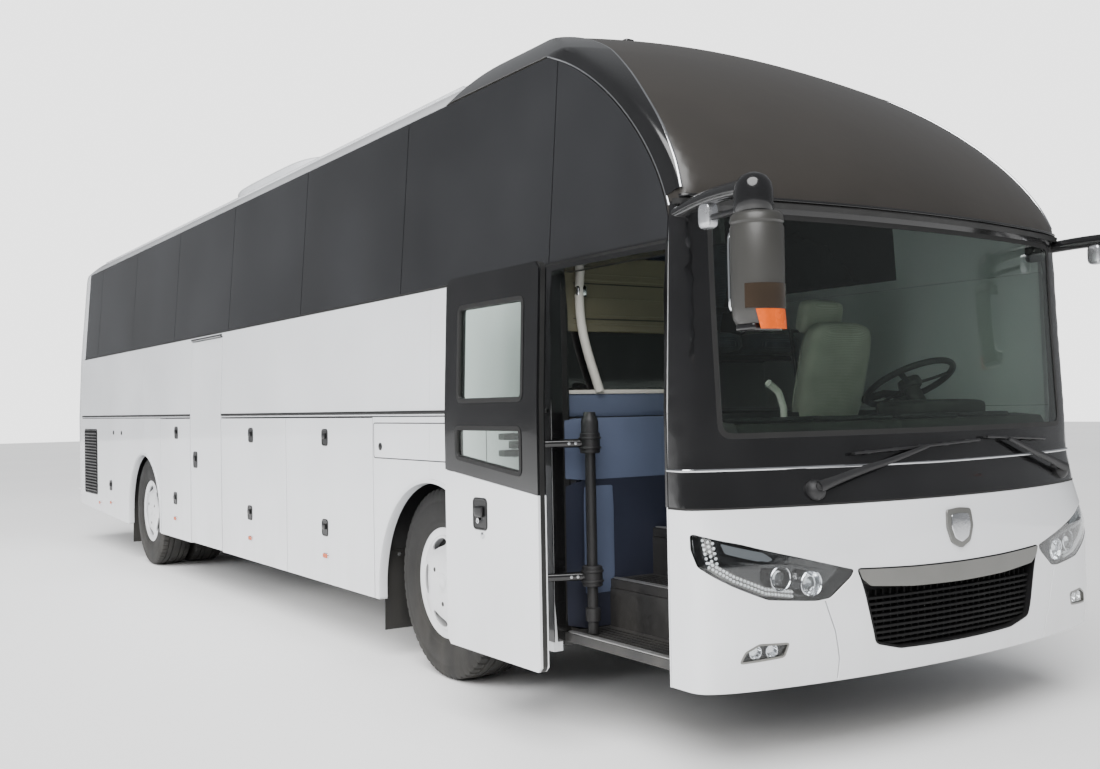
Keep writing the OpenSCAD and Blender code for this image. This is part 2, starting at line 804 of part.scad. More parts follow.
// ---- Outside fittings ----
// Wiper outline in Y and Z: arm from its pivot to the blade, and the blade.
module wiper_outline(pivot, joint, tip_a, tip_b) {
    translate(pivot) circle(30);
    bar(pivot, joint, 14);
    bar(tip_a, tip_b, 11);
}
module bar(a, b, r) {
    d = b - a;
    translate(a) rotate(atan2(d.y, d.x)) translate([0, -r]) square([norm(d), 2 * r]);
}
module wipers() {
    color([0.05, 0.05, 0.05])
        intersection() {
            nose_shell(-40, -eps);
            through_nose() {
                wiper_outline([-700, 1115], [-100, 1272], [-500, 1262], [260, 1286]);
                wiper_outline([1000, 1120], [500, 1285], [860, 1280], [330, 1300]);
            }
        }
}
mirror_x = nose_x + mirror_reach - 95;
mirror_y = 1350;
module mirrors() {
    color([0.2, 0.2, 0.21])
        difference() {
            for (s = [-1, 1]) {
                translate([mirror_x, s * mirror_y, 1740]) cylinder(h = 400, r = 95);
                translate([mirror_x, s * mirror_y, 2120]) cylinder(h = 150, r = 40);
                hull() {
                    translate([mirror_x, s * mirror_y, 2260]) sphere(38, $fn = 24);
                    translate([front_axle_x + 2010, s * 1205, 2230]) sphere(34, $fn = 24);
                }
            }
            nose_solid(-eps);
        }
}

chassis_frame();
cabin_floor();
luggage_hold();
left_side_panel();
right_side_panel();
roof_panel();
front_dome();
windshield();
front_cowl();
front_panel();
grille();
front_lamps();
rear_panel();
rear_window();
tail_lamps();
side_windows();
air_conditioner();
dashboard();
driver_seat();
passenger_seats();
luggage_racks();
driver_partition();
wipers();
mirrors();
front_axle();
rear_axle();
engine_block();
mudflaps();
door_post();
steering_knuckle(1);  // steering_knuckle_left
steering_knuckle(-1);  // steering_knuckle_right
front_tyre(1);  // front_tyre_left
front_rim(1);  // front_rim_left
front_tyre(-1);  // front_tyre_right
front_rim(-1);  // front_rim_right
rear_tyres(1);  // rear_tyres_left
rear_rims(1);  // rear_rims_left
rear_tyres(-1);  // rear_tyres_right
rear_rims(-1);  // rear_rims_right
passenger_door();
passenger_door_glass();
middle_door();
luggage_door(-1, bay_split_x + door_gap / 2, bay_front_x - door_gap);  // luggage_door_right_front
luggage_door(-1, mid_door_x1 + 2 * door_gap, bay_split_x - door_gap / 2);  // luggage_door_right_rear
luggage_door(1, bay_split_x + door_gap / 2, bay_front_x - door_gap);  // luggage_door_left_front
luggage_door(1, mid_door_x1 + 2 * door_gap, bay_split_x - door_gap / 2);  // luggage_door_left_rear
service_door();
engine_lid();
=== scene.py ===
"""Looks of a high-floor touring coach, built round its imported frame. Metres: +X forward, +Y left,
+Z up."""
import math
import bpy
import numpy as np
from mathutils import Matrix, Vector, geometry


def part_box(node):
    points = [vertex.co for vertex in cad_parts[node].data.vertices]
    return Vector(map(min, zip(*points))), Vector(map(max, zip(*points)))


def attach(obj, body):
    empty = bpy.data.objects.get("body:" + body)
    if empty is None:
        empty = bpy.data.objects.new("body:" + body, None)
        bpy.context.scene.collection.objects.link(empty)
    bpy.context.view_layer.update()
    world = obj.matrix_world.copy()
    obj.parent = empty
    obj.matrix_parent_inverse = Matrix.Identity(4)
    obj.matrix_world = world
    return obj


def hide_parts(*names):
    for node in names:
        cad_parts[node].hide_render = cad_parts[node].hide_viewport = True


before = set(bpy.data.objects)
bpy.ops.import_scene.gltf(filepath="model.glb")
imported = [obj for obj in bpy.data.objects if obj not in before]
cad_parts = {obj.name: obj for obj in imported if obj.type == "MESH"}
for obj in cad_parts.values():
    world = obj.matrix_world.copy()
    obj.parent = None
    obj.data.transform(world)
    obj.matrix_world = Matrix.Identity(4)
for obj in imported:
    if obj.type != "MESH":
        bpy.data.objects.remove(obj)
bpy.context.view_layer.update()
BOX = {name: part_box(name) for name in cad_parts}

# ---- Stations of the body, taken from the frame ----
NOSE_X, TAIL_X = BOX["front_panel"][1].x, BOX["engine_lid"][0].x
SIDE_Y = BOX["left_side_panel"][1].y
FACE_X, REAR_X = BOX["front_panel"][0].x, BOX["left_side_panel"][0].x
FRONT_AXLE = (BOX["front_tyre_right"][0].x + BOX["front_tyre_right"][1].x) / 2
REAR_AXLE = (BOX["rear_tyres_right"][0].x + BOX["rear_tyres_right"][1].x) / 2
TYRE_R = BOX["front_tyre_right"][1].z / 2
ROOF_Z, DOME_Z, DOME_BACK = BOX["roof_panel"][1].z, 3.58, BOX["front_dome"][0].x
WAIST_Z, GLASS_LOW, GLASS_HIGH = 1.457, BOX["side_windows"][0].z, BOX["side_windows"][1].z
SKIRT_Z = BOX["front_panel"][0].z
VISOR_Z = 2.287
DOOR_X0 = 4.535


# ---- Curves ----
def bezier(points, n):
    """Cubic Bezier through four control points: sum of Bernstein weights times points, at n + 1
    even steps."""
    u = np.linspace(0, 1, n + 1)[:, None]
    p = np.asarray(points, float)
    return (1 - u) ** 3 * p[0] + 3 * (1 - u) ** 2 * u * p[1] + 3 * (1
            - u) * u * u * p[2] + u ** 3 * p[3]


def smooth(x, xs, ys):
    """Monotone cubic through (xs, ys): Hermite pieces whose slopes are harmonic means of their
    neighbours'."""
    xs, ys = np.asarray(xs, float), np.asarray(ys, float)
    h, d = np.diff(xs), np.diff(ys) / np.diff(xs)
    m = np.zeros_like(ys)
    same = d[:-1] * d[1:] > 0
    m[1:-1][same] = 2 * d[:-1][same] * d[1:][same] / (d[:-1][same] + d[1:][same])
    m[0], m[-1] = d[0], d[-1]
    i = np.clip(np.searchsorted(xs, x) - 1, 0, len(xs) - 2)
    t = np.clip((x - xs[i]) / h[i], 0, 1)
    return ((1 + 2 * t) * (1 - t) ** 2 * ys[i] + t * (1 - t) ** 2 * h[i] * m[i]
            + t * t * (3 - 2 * t) * ys[i + 1] + t * t * (t - 1) * h[i] * m[i + 1])


def refine(points, step, closed=False):
    """Points along a polyline no further apart than step."""
    p = np.asarray(points, float)
    if closed:
        p = np.vstack([p, p[:1]])
    out = []
    for a, b in zip(p[:-1], p[1:]):
        n = max(1, int(math.ceil(np.linalg.norm(b - a) / step)))
        out.append(a + (b - a) * np.arange(n)[:, None] / n)
    if not closed:
        out.append(p[-1:])
    return np.vstack(out)


def rounded(points, radius, n=5):
    """A closed 2-D outline with each corner replaced by a quadratic curve that starts radius away
    from it."""
    p = np.asarray(points, float)
    out = []
    for a, b, c in zip(np.roll(p, 1, 0), p, np.roll(p, -1, 0)):
        r0 = min(radius, np.linalg.norm(a - b) / 2.1)
        r1 = min(radius, np.linalg.norm(c - b) / 2.1)
        s, e = b + (a - b) / np.linalg.norm(a - b) * r0, b + (c - b) / np.linalg.norm(c - b) * r1
        u = np.linspace(0, 1, n + 1)[:, None]
        out.append((1 - u) ** 2 * s + 2 * u * (1 - u) * b + u * u * e)
    return np.vstack(out)


def rectangle(a0, b0, a1, b1):
    """The corners of an upright rectangle, in turn from (a0, b0)."""
    return np.array([[a0, b0], [a1, b0], [a1, b1], [a0, b1]], float)


def end_drop(u, bow, power):
    """Plan of an end: bow u^2 + (1 - bow) (1 - (1 - u^power)^(1/power))."""
    u = np.clip(np.abs(u), 0, 1)
    return bow * u * u + (1 - bow) * (1 - (1 - u ** power) ** (1 / power))


def half_width(z, crown=ROOF_Z, power=4.2):
    """Half the body's width at a height: upright, leaning in above the waist, arched above the
    glass."""
    z = np.asarray(z, float)
    lean = np.interp(z, [WAIST_Z, 2.13, 3.125], [SIDE_Y, SIDE_Y - .025, SIDE_Y - .1])
    arch = (SIDE_Y - .1) * np.clip((crown - z) / (crown - 3.125), 0, 1) ** (1 / power)
    return np.where(z <= 3.125, lean, arch)


NOSE_ROWS = np.array([[-.04, .33], [-.015, .43], [0, .56], [0, .86], [-.003, .93], [-.02, 1.062],
                      [-.095, 1.21], [-.112, 1.335], [-.175, 2.24], [-.16, VISOR_Z]])
DOME_ROWS = bezier([[NOSE_X - .16, VISOR_Z], [NOSE_X - .21, 2.64], [NOSE_X - 1.03, 3.42],
                    [DOME_BACK, DOME_Z]], 400)
TAIL_ROWS = np.array([[.04, .43], [0, 1.0], [0, 1.5], [.02, 2.0], [.12, 3.1], [.15, 3.21], [.205, 3.31],
                      [.3, 3.38], [.43, 3.416], [.64, 3.429]])


def front_x(z):
    """The front face's x on the centreline: bumper rows up to the visor, dome rows above it."""
    low = NOSE_X + smooth(z, NOSE_ROWS[:, 1], NOSE_ROWS[:, 0])
    return np.where(z <= VISOR_Z, low, np.interp(z, DOME_ROWS[:, 1], DOME_ROWS[:, 0]))


def front_at(y, z):
    """X of the nose or dome at (y, z): centre line minus its depth times the plan's drop."""
    y, z = np.asarray(y, float), np.asarray(z, float)
    x = front_x(z)
    side = np.where(z <= VISOR_Z, FACE_X, x - .222 - .12 * (z - VISOR_Z))
    bow = np.interp(z, [.86, 1.062], [.42, .6])
    return x + (side - x) * end_drop(y / np.maximum(half_width(z, DOME_Z, 2.6), 1e-6), bow, 8)


def in_front(p):
    """True inside the front end: narrower than the body there, behind the face, below the dome's
    top."""
    return (np.abs(p[:, 1]) < half_width(p[:, 2], DOME_Z, 2.6)) & (p[:, 0] < front_at(p[:, 1],
            p[:, 2])) \
        & (p[:, 2] < DOME_Z)


def tail_at(y, z):
    """The tail's x at (y, z): its rows on the centreline, rounded towards both sides."""
    y, z = np.asarray(y, float), np.asarray(z, float)
    x = TAIL_X + smooth(z, TAIL_ROWS[:, 1], TAIL_ROWS[:, 0])
    side = np.maximum(REAR_X, x + .06)
    return x + (side - x) * end_drop(y / np.maximum(half_width(z), 1e-6), .3, 5)


def in_tail(p):
    """True inside the rear end: narrower than the body, ahead of the tail, below the roof."""
    return (np.abs(p[:, 1]) < half_width(p[:, 2])) & (p[:, 0] > tail_at(p[:, 1], p[:, 2])) & (p[:,
            2] < ROOF_Z)


class Form:
    """A star-shaped skin: rays from a centre meet it at the radius found by halving an inside test.
    Its plane is the stereographic projection of ray directions about an axis."""

    def __init__(self, centre, axis, inside):
        self.c, self.inside = np.array(centre, float), inside
        self.n = np.array(axis, float) / np.linalg.norm(axis)
        self.a = np.array([0, math.copysign(1, self.n[0]), 0])
        self.b = np.cross(self.n, self.a)

    def cast(self, d):
        low, high = np.zeros(len(d)), np.full(len(d), 6.0)
        for _ in range(38):
            mid = (low + high) / 2
            hit = self.inside(self.c + d * mid[:, None])
            low, high = np.where(hit, mid, low), np.where(hit, high, mid)
        return self.c + d * low[:, None]

    def to_plane(self, points):
        d = np.asarray(points, float) - self.c
        d /= np.linalg.norm(d, axis=1)[:, None]
        return np.column_stack([d @ self.a, d @ self.b]) / (1 + d @ self.n)[:, None]

    def from_plane(self, q):
        k = 2 / (1 + (q ** 2).sum(1))
        return k[:, None] * (q[:, :1] * self.a + q[:, 1:] * self.b) + (k - 1)[:, None] * self.n

    def on_skin(self, points):
        """Points pulled along their rays onto the skin, with outward normals from neighbouring rays."""
        q = self.to_plane(points)
        e = 4e-4
        p, pa, pb, ma, mb = (self.cast(self.from_plane(q + s)) for s in
                             ([0, 0], [e, 0], [0, e], [-e, 0], [0, -e]))
        n = np.cross(pa - ma, pb - mb)
        return p, n / np.linalg.norm(n, axis=1)[:, None]


class Flank:
    """The long side of the body: (x, z) gives y = side times the half width."""

    def __init__(self, side):
        self.s = side

    def to_plane(self, points):
        p = np.asarray(points, float)
        return np.column_stack([-self.s * p[:, 0], p[:, 2]])

    def unproject(self, q):
        x, z = -self.s * q[:, 0], q[:, 1]
        return np.column_stack([x, self.s * half_width(z), z])

    def on_skin(self, points):
        p = self.unproject(self.to_plane(points))
        slope = (half_width(p[:, 2] + 1e-3) - half_width(p[:, 2] - 1e-3)) / 2e-3
        n = np.column_stack([np.zeros(len(p)), np.full(len(p), float(self.s)), -slope])
        return p, n / np.linalg.norm(n, axis=1)[:, None]


NOSE = Form((4.2, 0, 1.3), (1, 0, 0), in_front)
DOME = Form((3.9, 0, 2.2), (1, 0, 1), in_front)
TAIL = Form((-5.0, 0, 1.9), (-1, 0, .3), in_tail)
RIGHT, LEFT = Flank(-1), Flank(1)


# ---- Piece: parts gathered into one mesh ----
class Piece:
    """Vertices, faces and materials gathered for one visible piece, made an object by done."""

    def __init__(self, name):
        self.name, self.v, self.f, self.m, self.mats, self.n = name, [], [], [], [], 0

    def add(self, verts, faces, mat, closed=True):
        """Faces of a closed part are turned outward by the sign of its volume."""
        v = np.asarray(verts, float)
        if closed:
            vol = sum(float(np.dot(v[f[0]], np.cross(v[f[i]], v[f[i + 1]])))
                      for f in faces for i in range(1, len(f) - 1)) if len(faces) < 400 else volume(v,
                    faces)
            if vol < 0:
                faces = [tuple(reversed(f)) for f in faces]
        if mat not in self.mats:
            self.mats.append(mat)
        self.v.append(v)
        self.f += [tuple(int(i) + self.n for i in f) for f in faces]
        self.m += [self.mats.index(mat)] * len(faces)
        self.n += len(v)
        return self

    def grid(self, p, mat, wrap_u=False, wrap_v=False, closed=True, caps=False):
        """A surface from a grid of points (u, v, 3)."""
        nu, nv = p.shape[:2]
        index = np.arange(nu * nv).reshape(nu, nv)
        a = index if wrap_u else index[:-1]
        b = np.roll(index, -1, 0) if wrap_u else index[1:]
        cols = slice(None) if wrap_v else slice(0, nv - 1)
        a2, b2 = np.roll(a, -1, 1), np.roll(b, -1, 1)
        quads = np.stack([a[:, cols], b[:, cols], b2[:, cols], a2[:, cols]], -1).reshape(-1, 4)
        faces = [tuple(q) for q in quads.tolist()]
        if caps:
            faces += [tuple(index[0].tolist()), tuple(reversed(index[-1].tolist()))]
        return self.add(p.reshape(-1, 3), faces, mat, closed)

    def lathe(self, profile, centre, mat, axis=(0, 1, 0), n=64):
        """A closed (radius, height) profile turned about an axis through centre."""
        prof = np.asarray(profile, float)
        w = np.array(axis, float) / np.linalg.norm(axis)
        u = np.cross(w, [0, 0, 1] if abs(w[2]) < .9 else [1, 0, 0])
        u /= np.linalg.norm(u)
        v = np.cross(w, u)
        t = np.linspace(0, 2 * math.pi, n, endpoint=False)
        ring = np.cos(t)[:, None] * u + np.sin(t)[:, None] * v
        p = np.array(centre) + prof[None, :, :1] * ring[:, None, :] + prof[None, :, 1:] * w
        return self.grid(p, mat, wrap_u=True, wrap_v=True)

    def tube(self, path, radius, mat, n=12, up=(0, 0, 1), flat=1.0):
        """A round or flattened bar along a path, with closed ends."""
        path = np.asarray(path, float)
        t = np.gradient(path, axis=0)
        t /= np.linalg.norm(t, axis=1)[:, None]
        side = np.cross(t, up)
        side /= np.maximum(np.linalg.norm(side, axis=1), 1e-9)[:, None]
        top = np.cross(side, t)
        a = np.linspace(0, 2 * math.pi, n, endpoint=False)
        r = np.broadcast_to(radius, len(path))[:, None, None]
        p = path[:, None] + r * (np.cos(a)[None, :, None] * side[:, None]
                                 + flat * np.sin(a)[None, :, None] * top[:, None])
        return self.grid(p, mat, wrap_v=True, caps=True)

    def strip(self, form, curve, profile, mat, step=.03, loop=False):
        """A moulding along a curve on a skin: profile points are (sideways, outward)."""
        p, n = form.on_skin(refine(curve, step, loop))
        t = (np.roll(p, -1, 0) - np.roll(p, 1, 0)) if loop else np.gradient(p, axis=0)
        t /= np.linalg.norm(t, axis=1)[:, None]
        b = np.cross(n, t)
        prof = np.asarray(profile, float)
        g = p[:, None] + prof[None, :, :1] * b[:, None] + prof[None, :, 1:] * n[:, None]
        return self.grid(g, mat, wrap_u=loop, wrap_v=True, caps=not loop)

    def sheet(self, form, outline, mat, holes=(), lift=0.0, thick=.02, step=.05, depth=None):
        """A closed wall on a skin: the outline and holes are curves on it, filled by a
        triangulation of a
        hexagonal field of points in the skin's plane, then lifted and thickened along the normals."""
        loops = [refine(o, step * .7, True) for o in (outline, *holes)]
        rings = [form.to_plane(o) for o in loops]
        pts, edges, base = [], [], 0
        for r in rings:
            pts.append(r)
            edges += [(base + i, base + (i + 1) % len(r)) for i in range(len(r))]
            base += len(r)
        span = np.linalg.norm(np.diff(loops[0], axis=0), axis=1)
        flat = np.linalg.norm(np.diff(rings[0], axis=0), axis=1)
        h = step * float(np.median(flat / np.maximum(span, 1e-9)))
        lo, hi = rings[0].min(0), rings[0].max(0)
        gx, gy = np.meshgrid(np.arange(lo[0], hi[0], h), np.arange(lo[1], hi[1], h * .866))
        gx = gx + (np.arange(gx.shape[0]) % 2)[:, None] * h / 2
        field = np.column_stack([gx.ravel(), gy.ravel()])
        border = np.vstack(pts)
        keep = inside_loops(field, rings)
        field = field[keep]
        if len(field):
            near = np.min([np.min(((field[:, None] - chunk[None]) ** 2).sum(2), 1)
                           for chunk in np.array_split(border, max(1, len(border) // 200))], axis=0)
            field = field[near > (.45 * h) ** 2]
        allp = np.vstack([border, field])
        v2, _, tri, _, _, _ = geometry.delaunay_2d_cdt([Vector(q) for q in allp], edges, [], 0, 1e-9)
        q = np.array([[c.x, c.y] for c in v2])
        tri = np.array([f for f in tri if len(f) == 3])
        tri = tri[inside_loops(q[tri].mean(1), rings)]
        used, tri = np.unique(tri, return_inverse=True)
        q, tri = q[used], tri.reshape(-1, 3)
        area = np.cross(q[tri[:, 1]] - q[tri[:, 0]], q[tri[:, 2]] - q[tri[:, 0]])
        tri = np.where((area < 0)[:, None], tri[:, ::-1], tri)
        world = form.unproject(q) if isinstance(form, Flank) else form.cast(form.from_plane(q))
        p, n = form.on_skin(world)
        up = lift if depth is None else depth(p)
        up = np.broadcast_to(np.asarray(up, float), len(p))[:, None]
        top, low = p + n * up, p + n * (up - thick)
        m = len(p)
        count = {}
        for f in tri.tolist():
            for a, b in ((f[0], f[1]), (f[1], f[2]), (f[2], f[0])):
                count[(a, b)] = 1
        rim = [(a, a + m, b + m, b) for a, b in count if (b, a) not in count]
        faces = [tuple(f) for f in tri.tolist()] + [tuple(reversed([i + m for i in f]))
                                                    for f in tri.tolist()]
        return self.add(np.vstack([top, low]), faces + rim, mat, closed=False)

    def ribbon(self, form, one, two, mat, lift=.006, thick=.004, n=120, across=14):
        """A closed band between two curves on a skin: both are walked by arc length, joined by straight
        rules, and every ruled point is pulled onto the skin and lifted along its normal."""
        rows = []
        for curve in (one, two):
            c = refine(curve, .01)
            d = np.r_[0, np.cumsum(np.linalg.norm(np.diff(c, axis=0), axis=1))]
            rows.append(np.column_stack([np.interp(np.linspace(0, d[-1], n), d,
                                                   c[:, k]) for k in range(3)]))
        v = np.linspace(0, 1, across)[:, None, None]
        flat = (rows[0][None] * (1 - v) + rows[1][None] * v).reshape(-1, 3)
        p, m = form.on_skin(flat)
        top, low = ((p + m * h).reshape(across, n, 3) for h in (lift, lift - thick))
        return self.grid(np.concatenate([top, low[::-1]]).transpose(1, 0, 2), mat, wrap_v=True,
                         caps=True)

    def block(self, low, high, mat, power=8, n=20, turn=None):
        """A rounded box: |x/a|^power + |y/b|^power + |z/c|^power = 1."""
        low, high = np.array(low, float), np.array(high, float)
        a, c = (high - low) / 2, (high + low) / 2
        t = np.linspace(-math.pi / 2, math.pi / 2, n // 2 + 1)
        s = np.linspace(-math.pi, math.pi, n, endpoint=False)
        d = np.stack([np.cos(t)[:, None] * np.cos(s), np.cos(t)[:, None] * np.sin(s),
                      np.broadcast_to(np.sin(t)[:, None], (len(t), n))], -1)
        d = np.sign(d) * np.abs(d) ** .6
        d /= (np.abs(d) ** power).sum(-1, keepdims=True) ** (1 / power)
        p = d * a
        if turn is not None:
            p = p @ np.array(turn, float).T
        return self.grid(p + c, mat, wrap_v=True, caps=True)

    def shifted(self, by):
        """The parts so far, carried by a vector."""
        self.v = [v + np.array(by, float) for v in self.v]
        return self

    def done(self, body, slot, replaces=(), angle=38, bevel=0.0):
        mesh = bpy.data.meshes.new(self.name)
        mesh.from_pydata(np.vstack(self.v).tolist(), [], self.f)
        mesh.polygons.foreach_set("material_index", self.m)
        mesh.polygons.foreach_set("use_smooth", [True] * len(self.f))
        for m in self.mats:
            mesh.materials.append(m)
        mesh.update()
        mesh.set_sharp_from_angle(angle=math.radians(angle))
        o = bpy.data.objects.new(self.name, mesh)
        bpy.context.scene.collection.objects.link(o)
        if bevel:
            b = o.modifiers.new("edge", "BEVEL")
            b.width, b.segments, b.limit_method, b.angle_limit = bevel, 2, "ANGLE", math.radians(50)
        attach(o, body)
        if replaces:
            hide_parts(*replaces)
        return o


def volume(v, faces):
    """Six times the signed volume, fan by fan."""
    total = 0.0
    by_size = {}
    for f in faces:
        by_size.setdefault(len(f), []).append(f)
    for size, group in by_size.items():
        g = np.array(group)
        for i in range(1, size - 1):
            total += float((v[g[:, 0]] * np.cross(v[g[:, i]], v[g[:, i + 1]])).sum())
    return total


def inside_loops(points, loops):
    """Even-odd test of points against closed loops."""
    hit = np.zeros(len(points), bool)
    for r in loops:
        a, b = r, np.roll(r, -1, 0)
        for i in range(len(a)):
            cross = (a[i, 1] > points[:, 1]) != (b[i, 1] > points[:, 1])
            if cross.any():
                x = a[i, 0] + (points[:, 1] - a[i, 1]) * (b[i, 0] - a[i, 0]) / (b[i, 1] - a[i,
                        1] + 1e-15)
                hit ^= cross & (points[:, 0] < x)
    return hit


def front_curve(yz):
    """Points (y, z) put on the nose or dome."""
    yz = np.asarray(yz, float)
    return np.column_stack([front_at(yz[:, 0], yz[:, 1]), yz])


def level(z0, z1=None, y0=-1.0, y1=1.0, n=90):
    """A line across the nose from share y0 to y1 of the half width, denser towards the corners."""
    z1 = z0 if z1 is None else z1
    t = np.linspace(-1, 1, n)
    u = np.sign(t) * (1 - (1 - np.abs(t)) ** 2.6)
    u = y0 + (y1 - y0) * (u + 1) / 2 if (y0, y1) != (-1.0, 1.0) else u
    z = z0 + (z1 - z0) * np.abs(u)
    y = u * half_width(z, DOME_Z, 2.6)
    return np.column_stack([front_at(y, z), y, z])


def side_curve(xz, s):
    """Points (x, z) put on the body's side s, each at half the width of its height."""
    xz = np.asarray(xz, float)
    return np.column_stack([xz[:, 0], s * half_width(xz[:, 1]), xz[:, 1]])


def half_round(w, h, n=6):
    """A strip's cross-section: flat foot, domed top of width 2w and height h."""
    a = np.linspace(0, math.pi, n)
    return np.column_stack([w * np.cos(a), h * np.sin(a)]).tolist() + [[-w, -.004], [w, -.004]]


# ---- Finishes: shared effects as groups, shaders in each material ----
class Net:
    """A short way to add and join the nodes of one tree."""

    def __init__(self, tree):
        self.t = tree

    def node(self, kind, **sets):
        n = self.t.nodes.new(kind)
        for key, value in sets.items():
            if key.startswith("_"):
                n.inputs[int(key[1:])].default_value = value
            else:
                setattr(n, key, value)
        return n

    def link(self, a, b):
        self.t.links.new(a, b)
        return b.node


def effect(name, inputs, outputs, build):
    """A node group with named inputs and outputs, filled in by build."""
    g = bpy.data.node_groups.new(name, "ShaderNodeTree")
    for label, kind, value in inputs:
        s = g.interface.new_socket(name=label, in_out="INPUT", socket_type="NodeSocket" + kind)
        s.default_value = value
    for label, kind in outputs:
        g.interface.new_socket(name=label, in_out="OUTPUT", socket_type="NodeSocket" + kind)
    net = Net(g)
    build(net, net.node("NodeGroupInput"), net.node("NodeGroupOutput"))
    return g


def scaled_noise(net, scale_socket, detail=5.0, squash=None):
    """Noise on Object coordinates, its scale from a socket, stretched where squash is given."""
    co = net.node("ShaderNodeTexCoord").outputs["Object"]
    if squash:
        m = net.node("ShaderNodeMapping")
        m.inputs["Scale"].default_value = squash
        net.link(co, m.inputs["Vector"])
        co = m.outputs["Vector"]
    n = net.node("ShaderNodeTexNoise")
    n.inputs["Detail"].default_value = detail
    net.link(co, n.inputs["Vector"])
    net.link(scale_socket, n.inputs["Scale"])
    return n.outputs["Fac"]


def ranged(net, value, low, high, to_low=0.0, to_high=1.0):
    """A Map Range node; each of its ends is a number or a socket."""
    r = net.node("ShaderNodeMapRange")
    for key, x in zip(("From Min", "From Max", "To Min", "To Max"), (low, high, to_low, to_high)):
        if hasattr(x, "node"):
            net.link(x, r.inputs[key])
        else:
            r.inputs[key].default_value = x
    net.link(value, r.inputs["Value"])
    return r.outputs["Result"]


def math_node(net, op, a, b):
    """A Math node; each operand is a number or a socket."""
    n = net.node("ShaderNodeMath", operation=op)
    for i, x in enumerate((a, b)):
        if hasattr(x, "node"):
            net.link(x, n.inputs[i])
        else:
            n.inputs[i].default_value = x
    return n.outputs[0]


def build_tone(net, i, o):
    """Slow light and dark patches in a colour."""
    fac = scaled_noise(net, i.outputs["Scale"])
    low = math_node(net, "SUBTRACT", 1.0, i.outputs["Amount"])
    high = math_node(net, "ADD", 1.0, i.outputs["Amount"])
    h = net.node("ShaderNodeHueSaturation")
    net.link(i.outputs["Colour"], h.inputs["Color"])
    net.link(ranged(net, fac, .35, .65, low, high), h.inputs["Value"])
    net.link(h.outputs["Color"], o.inputs["Colour"])
    net.link(fac, o.inputs["Value"])


def build_film(net, i, o):
    """Road dust that thickens towards the ground, broken up by streaks."""
    co = net.node("ShaderNodeTexCoord").outputs["Object"]
    sep = net.node("ShaderNodeSeparateXYZ")
    net.link(co, sep.inputs[0])
    drop = ranged(net, sep.outputs["Z"], i.outputs["Height"], .15)
    streak = net.node("ShaderNodeMapping")
    streak.inputs["Scale"].default_value = (3, 3, .8)
    net.link(co, streak.inputs["Vector"])
    n = net.node("ShaderNodeTexNoise")
    n.inputs["Scale"].default_value, n.inputs["Detail"].default_value = 2.2, 8
    net.link(streak.outputs["Vector"], n.inputs["Vector"])
    broken = ranged(net, n.outputs["Fac"], .38, .68, .25, 1)
    mask = math_node(net, "MULTIPLY", math_node(net, "MULTIPLY", drop, broken), i.outputs["Amount"])
    mix = net.node("ShaderNodeMix", data_type="RGBA")
    net.link(mask, mix.inputs["Factor"])
    net.link(i.outputs["Colour"], mix.inputs["A"])
    net.link(i.outputs["Dust"], mix.inputs["B"])
    net.link(mix.outputs["Result"], o.inputs["Colour"])
    net.link(mask, o.inputs["Mask"])


def build_grain(net, i, o):
    """Bump from fine noise."""
    fac = scaled_noise(net, i.outputs["Scale"], 6.0)
    b = net.node("ShaderNodeBump")
    net.link(fac, b.inputs["Height"])
    net.link(i.outputs["Depth"], b.inputs["Distance"])
    net.link(b.outputs["Normal"], o.inputs["Normal"])
    net.link(fac, o.inputs["Value"])


def build_weave(net, i, o):
    """Threads over and under: the product of two wave patterns at right angles, used as the bump and
    also as the colour's brightness, which paints shade into the dips between the threads and a
    highlight on their crossings.
    """
    co = net.node("ShaderNodeTexCoord").outputs["Object"]
    waves = []
    for axis in ("X", "Z"):
        w = net.node("ShaderNodeTexWave", bands_direction=axis)
        w.inputs["Distortion"].default_value = .4
        net.link(co, w.inputs["Vector"])
        net.link(i.outputs["Scale"], w.inputs["Scale"])
        waves.append(w.outputs["Fac"])
    both = math_node(net, "MULTIPLY", *waves)
    b = net.node("ShaderNodeBump")
    net.link(both, b.inputs["Height"])
    net.link(i.outputs["Depth"], b.inputs["Distance"])
    net.link(b.outputs["Normal"], o.inputs["Normal"])
    # painted shade and highlight: the colour is darkened where the threads dip and lightened where they
    # cross
    h = net.node("ShaderNodeHueSaturation")
    net.link(i.outputs["Colour"], h.inputs["Color"])
    net.link(ranged(net, both, 0, .6, .75, 1.12), h.inputs["Value"])
    net.link(h.outputs["Color"], o.inputs["Colour"])


TONE = effect("tone", [("Colour", "Color", (1, 1, 1, 1)), ("Scale", "Float", 2.0),
                       ("Amount", "Float", .05)],
              [("Colour", "Color"), ("Value", "Float")], build_tone)
FILM = effect("road film", [("Colour", "Color", (1, 1, 1, 1)), ("Dust", "Color", (.42, .39, .34, 1)),
                            ("Height", "Float", 1.2), ("Amount", "Float", .3)],
              [("Colour", "Color"), ("Mask", "Float")], build_film)
GRAIN = effect("grain", [("Scale", "Float", 400.0), ("Depth", "Float", .0005)],
               [("Normal", "Vector"), ("Value", "Float")], build_grain)
WEAVE_AND_SHADE = effect("weave", [("Colour", "Color", (1, 1, 1, 1)), ("Scale", "Float", 120.0),
                         ("Depth", "Float", .001)],
               [("Colour", "Color"), ("Normal", "Vector")], build_weave)


def placed(net, group, **values):
    """A node group set in a material, its inputs numbers or sockets."""
    n = net.node("ShaderNodeGroup", node_tree=group)
    for key, x in values.items():
        if hasattr(x, "node"):
            net.link(x, n.inputs[key])
        else:
            n.inputs[key].default_value = x
    return n


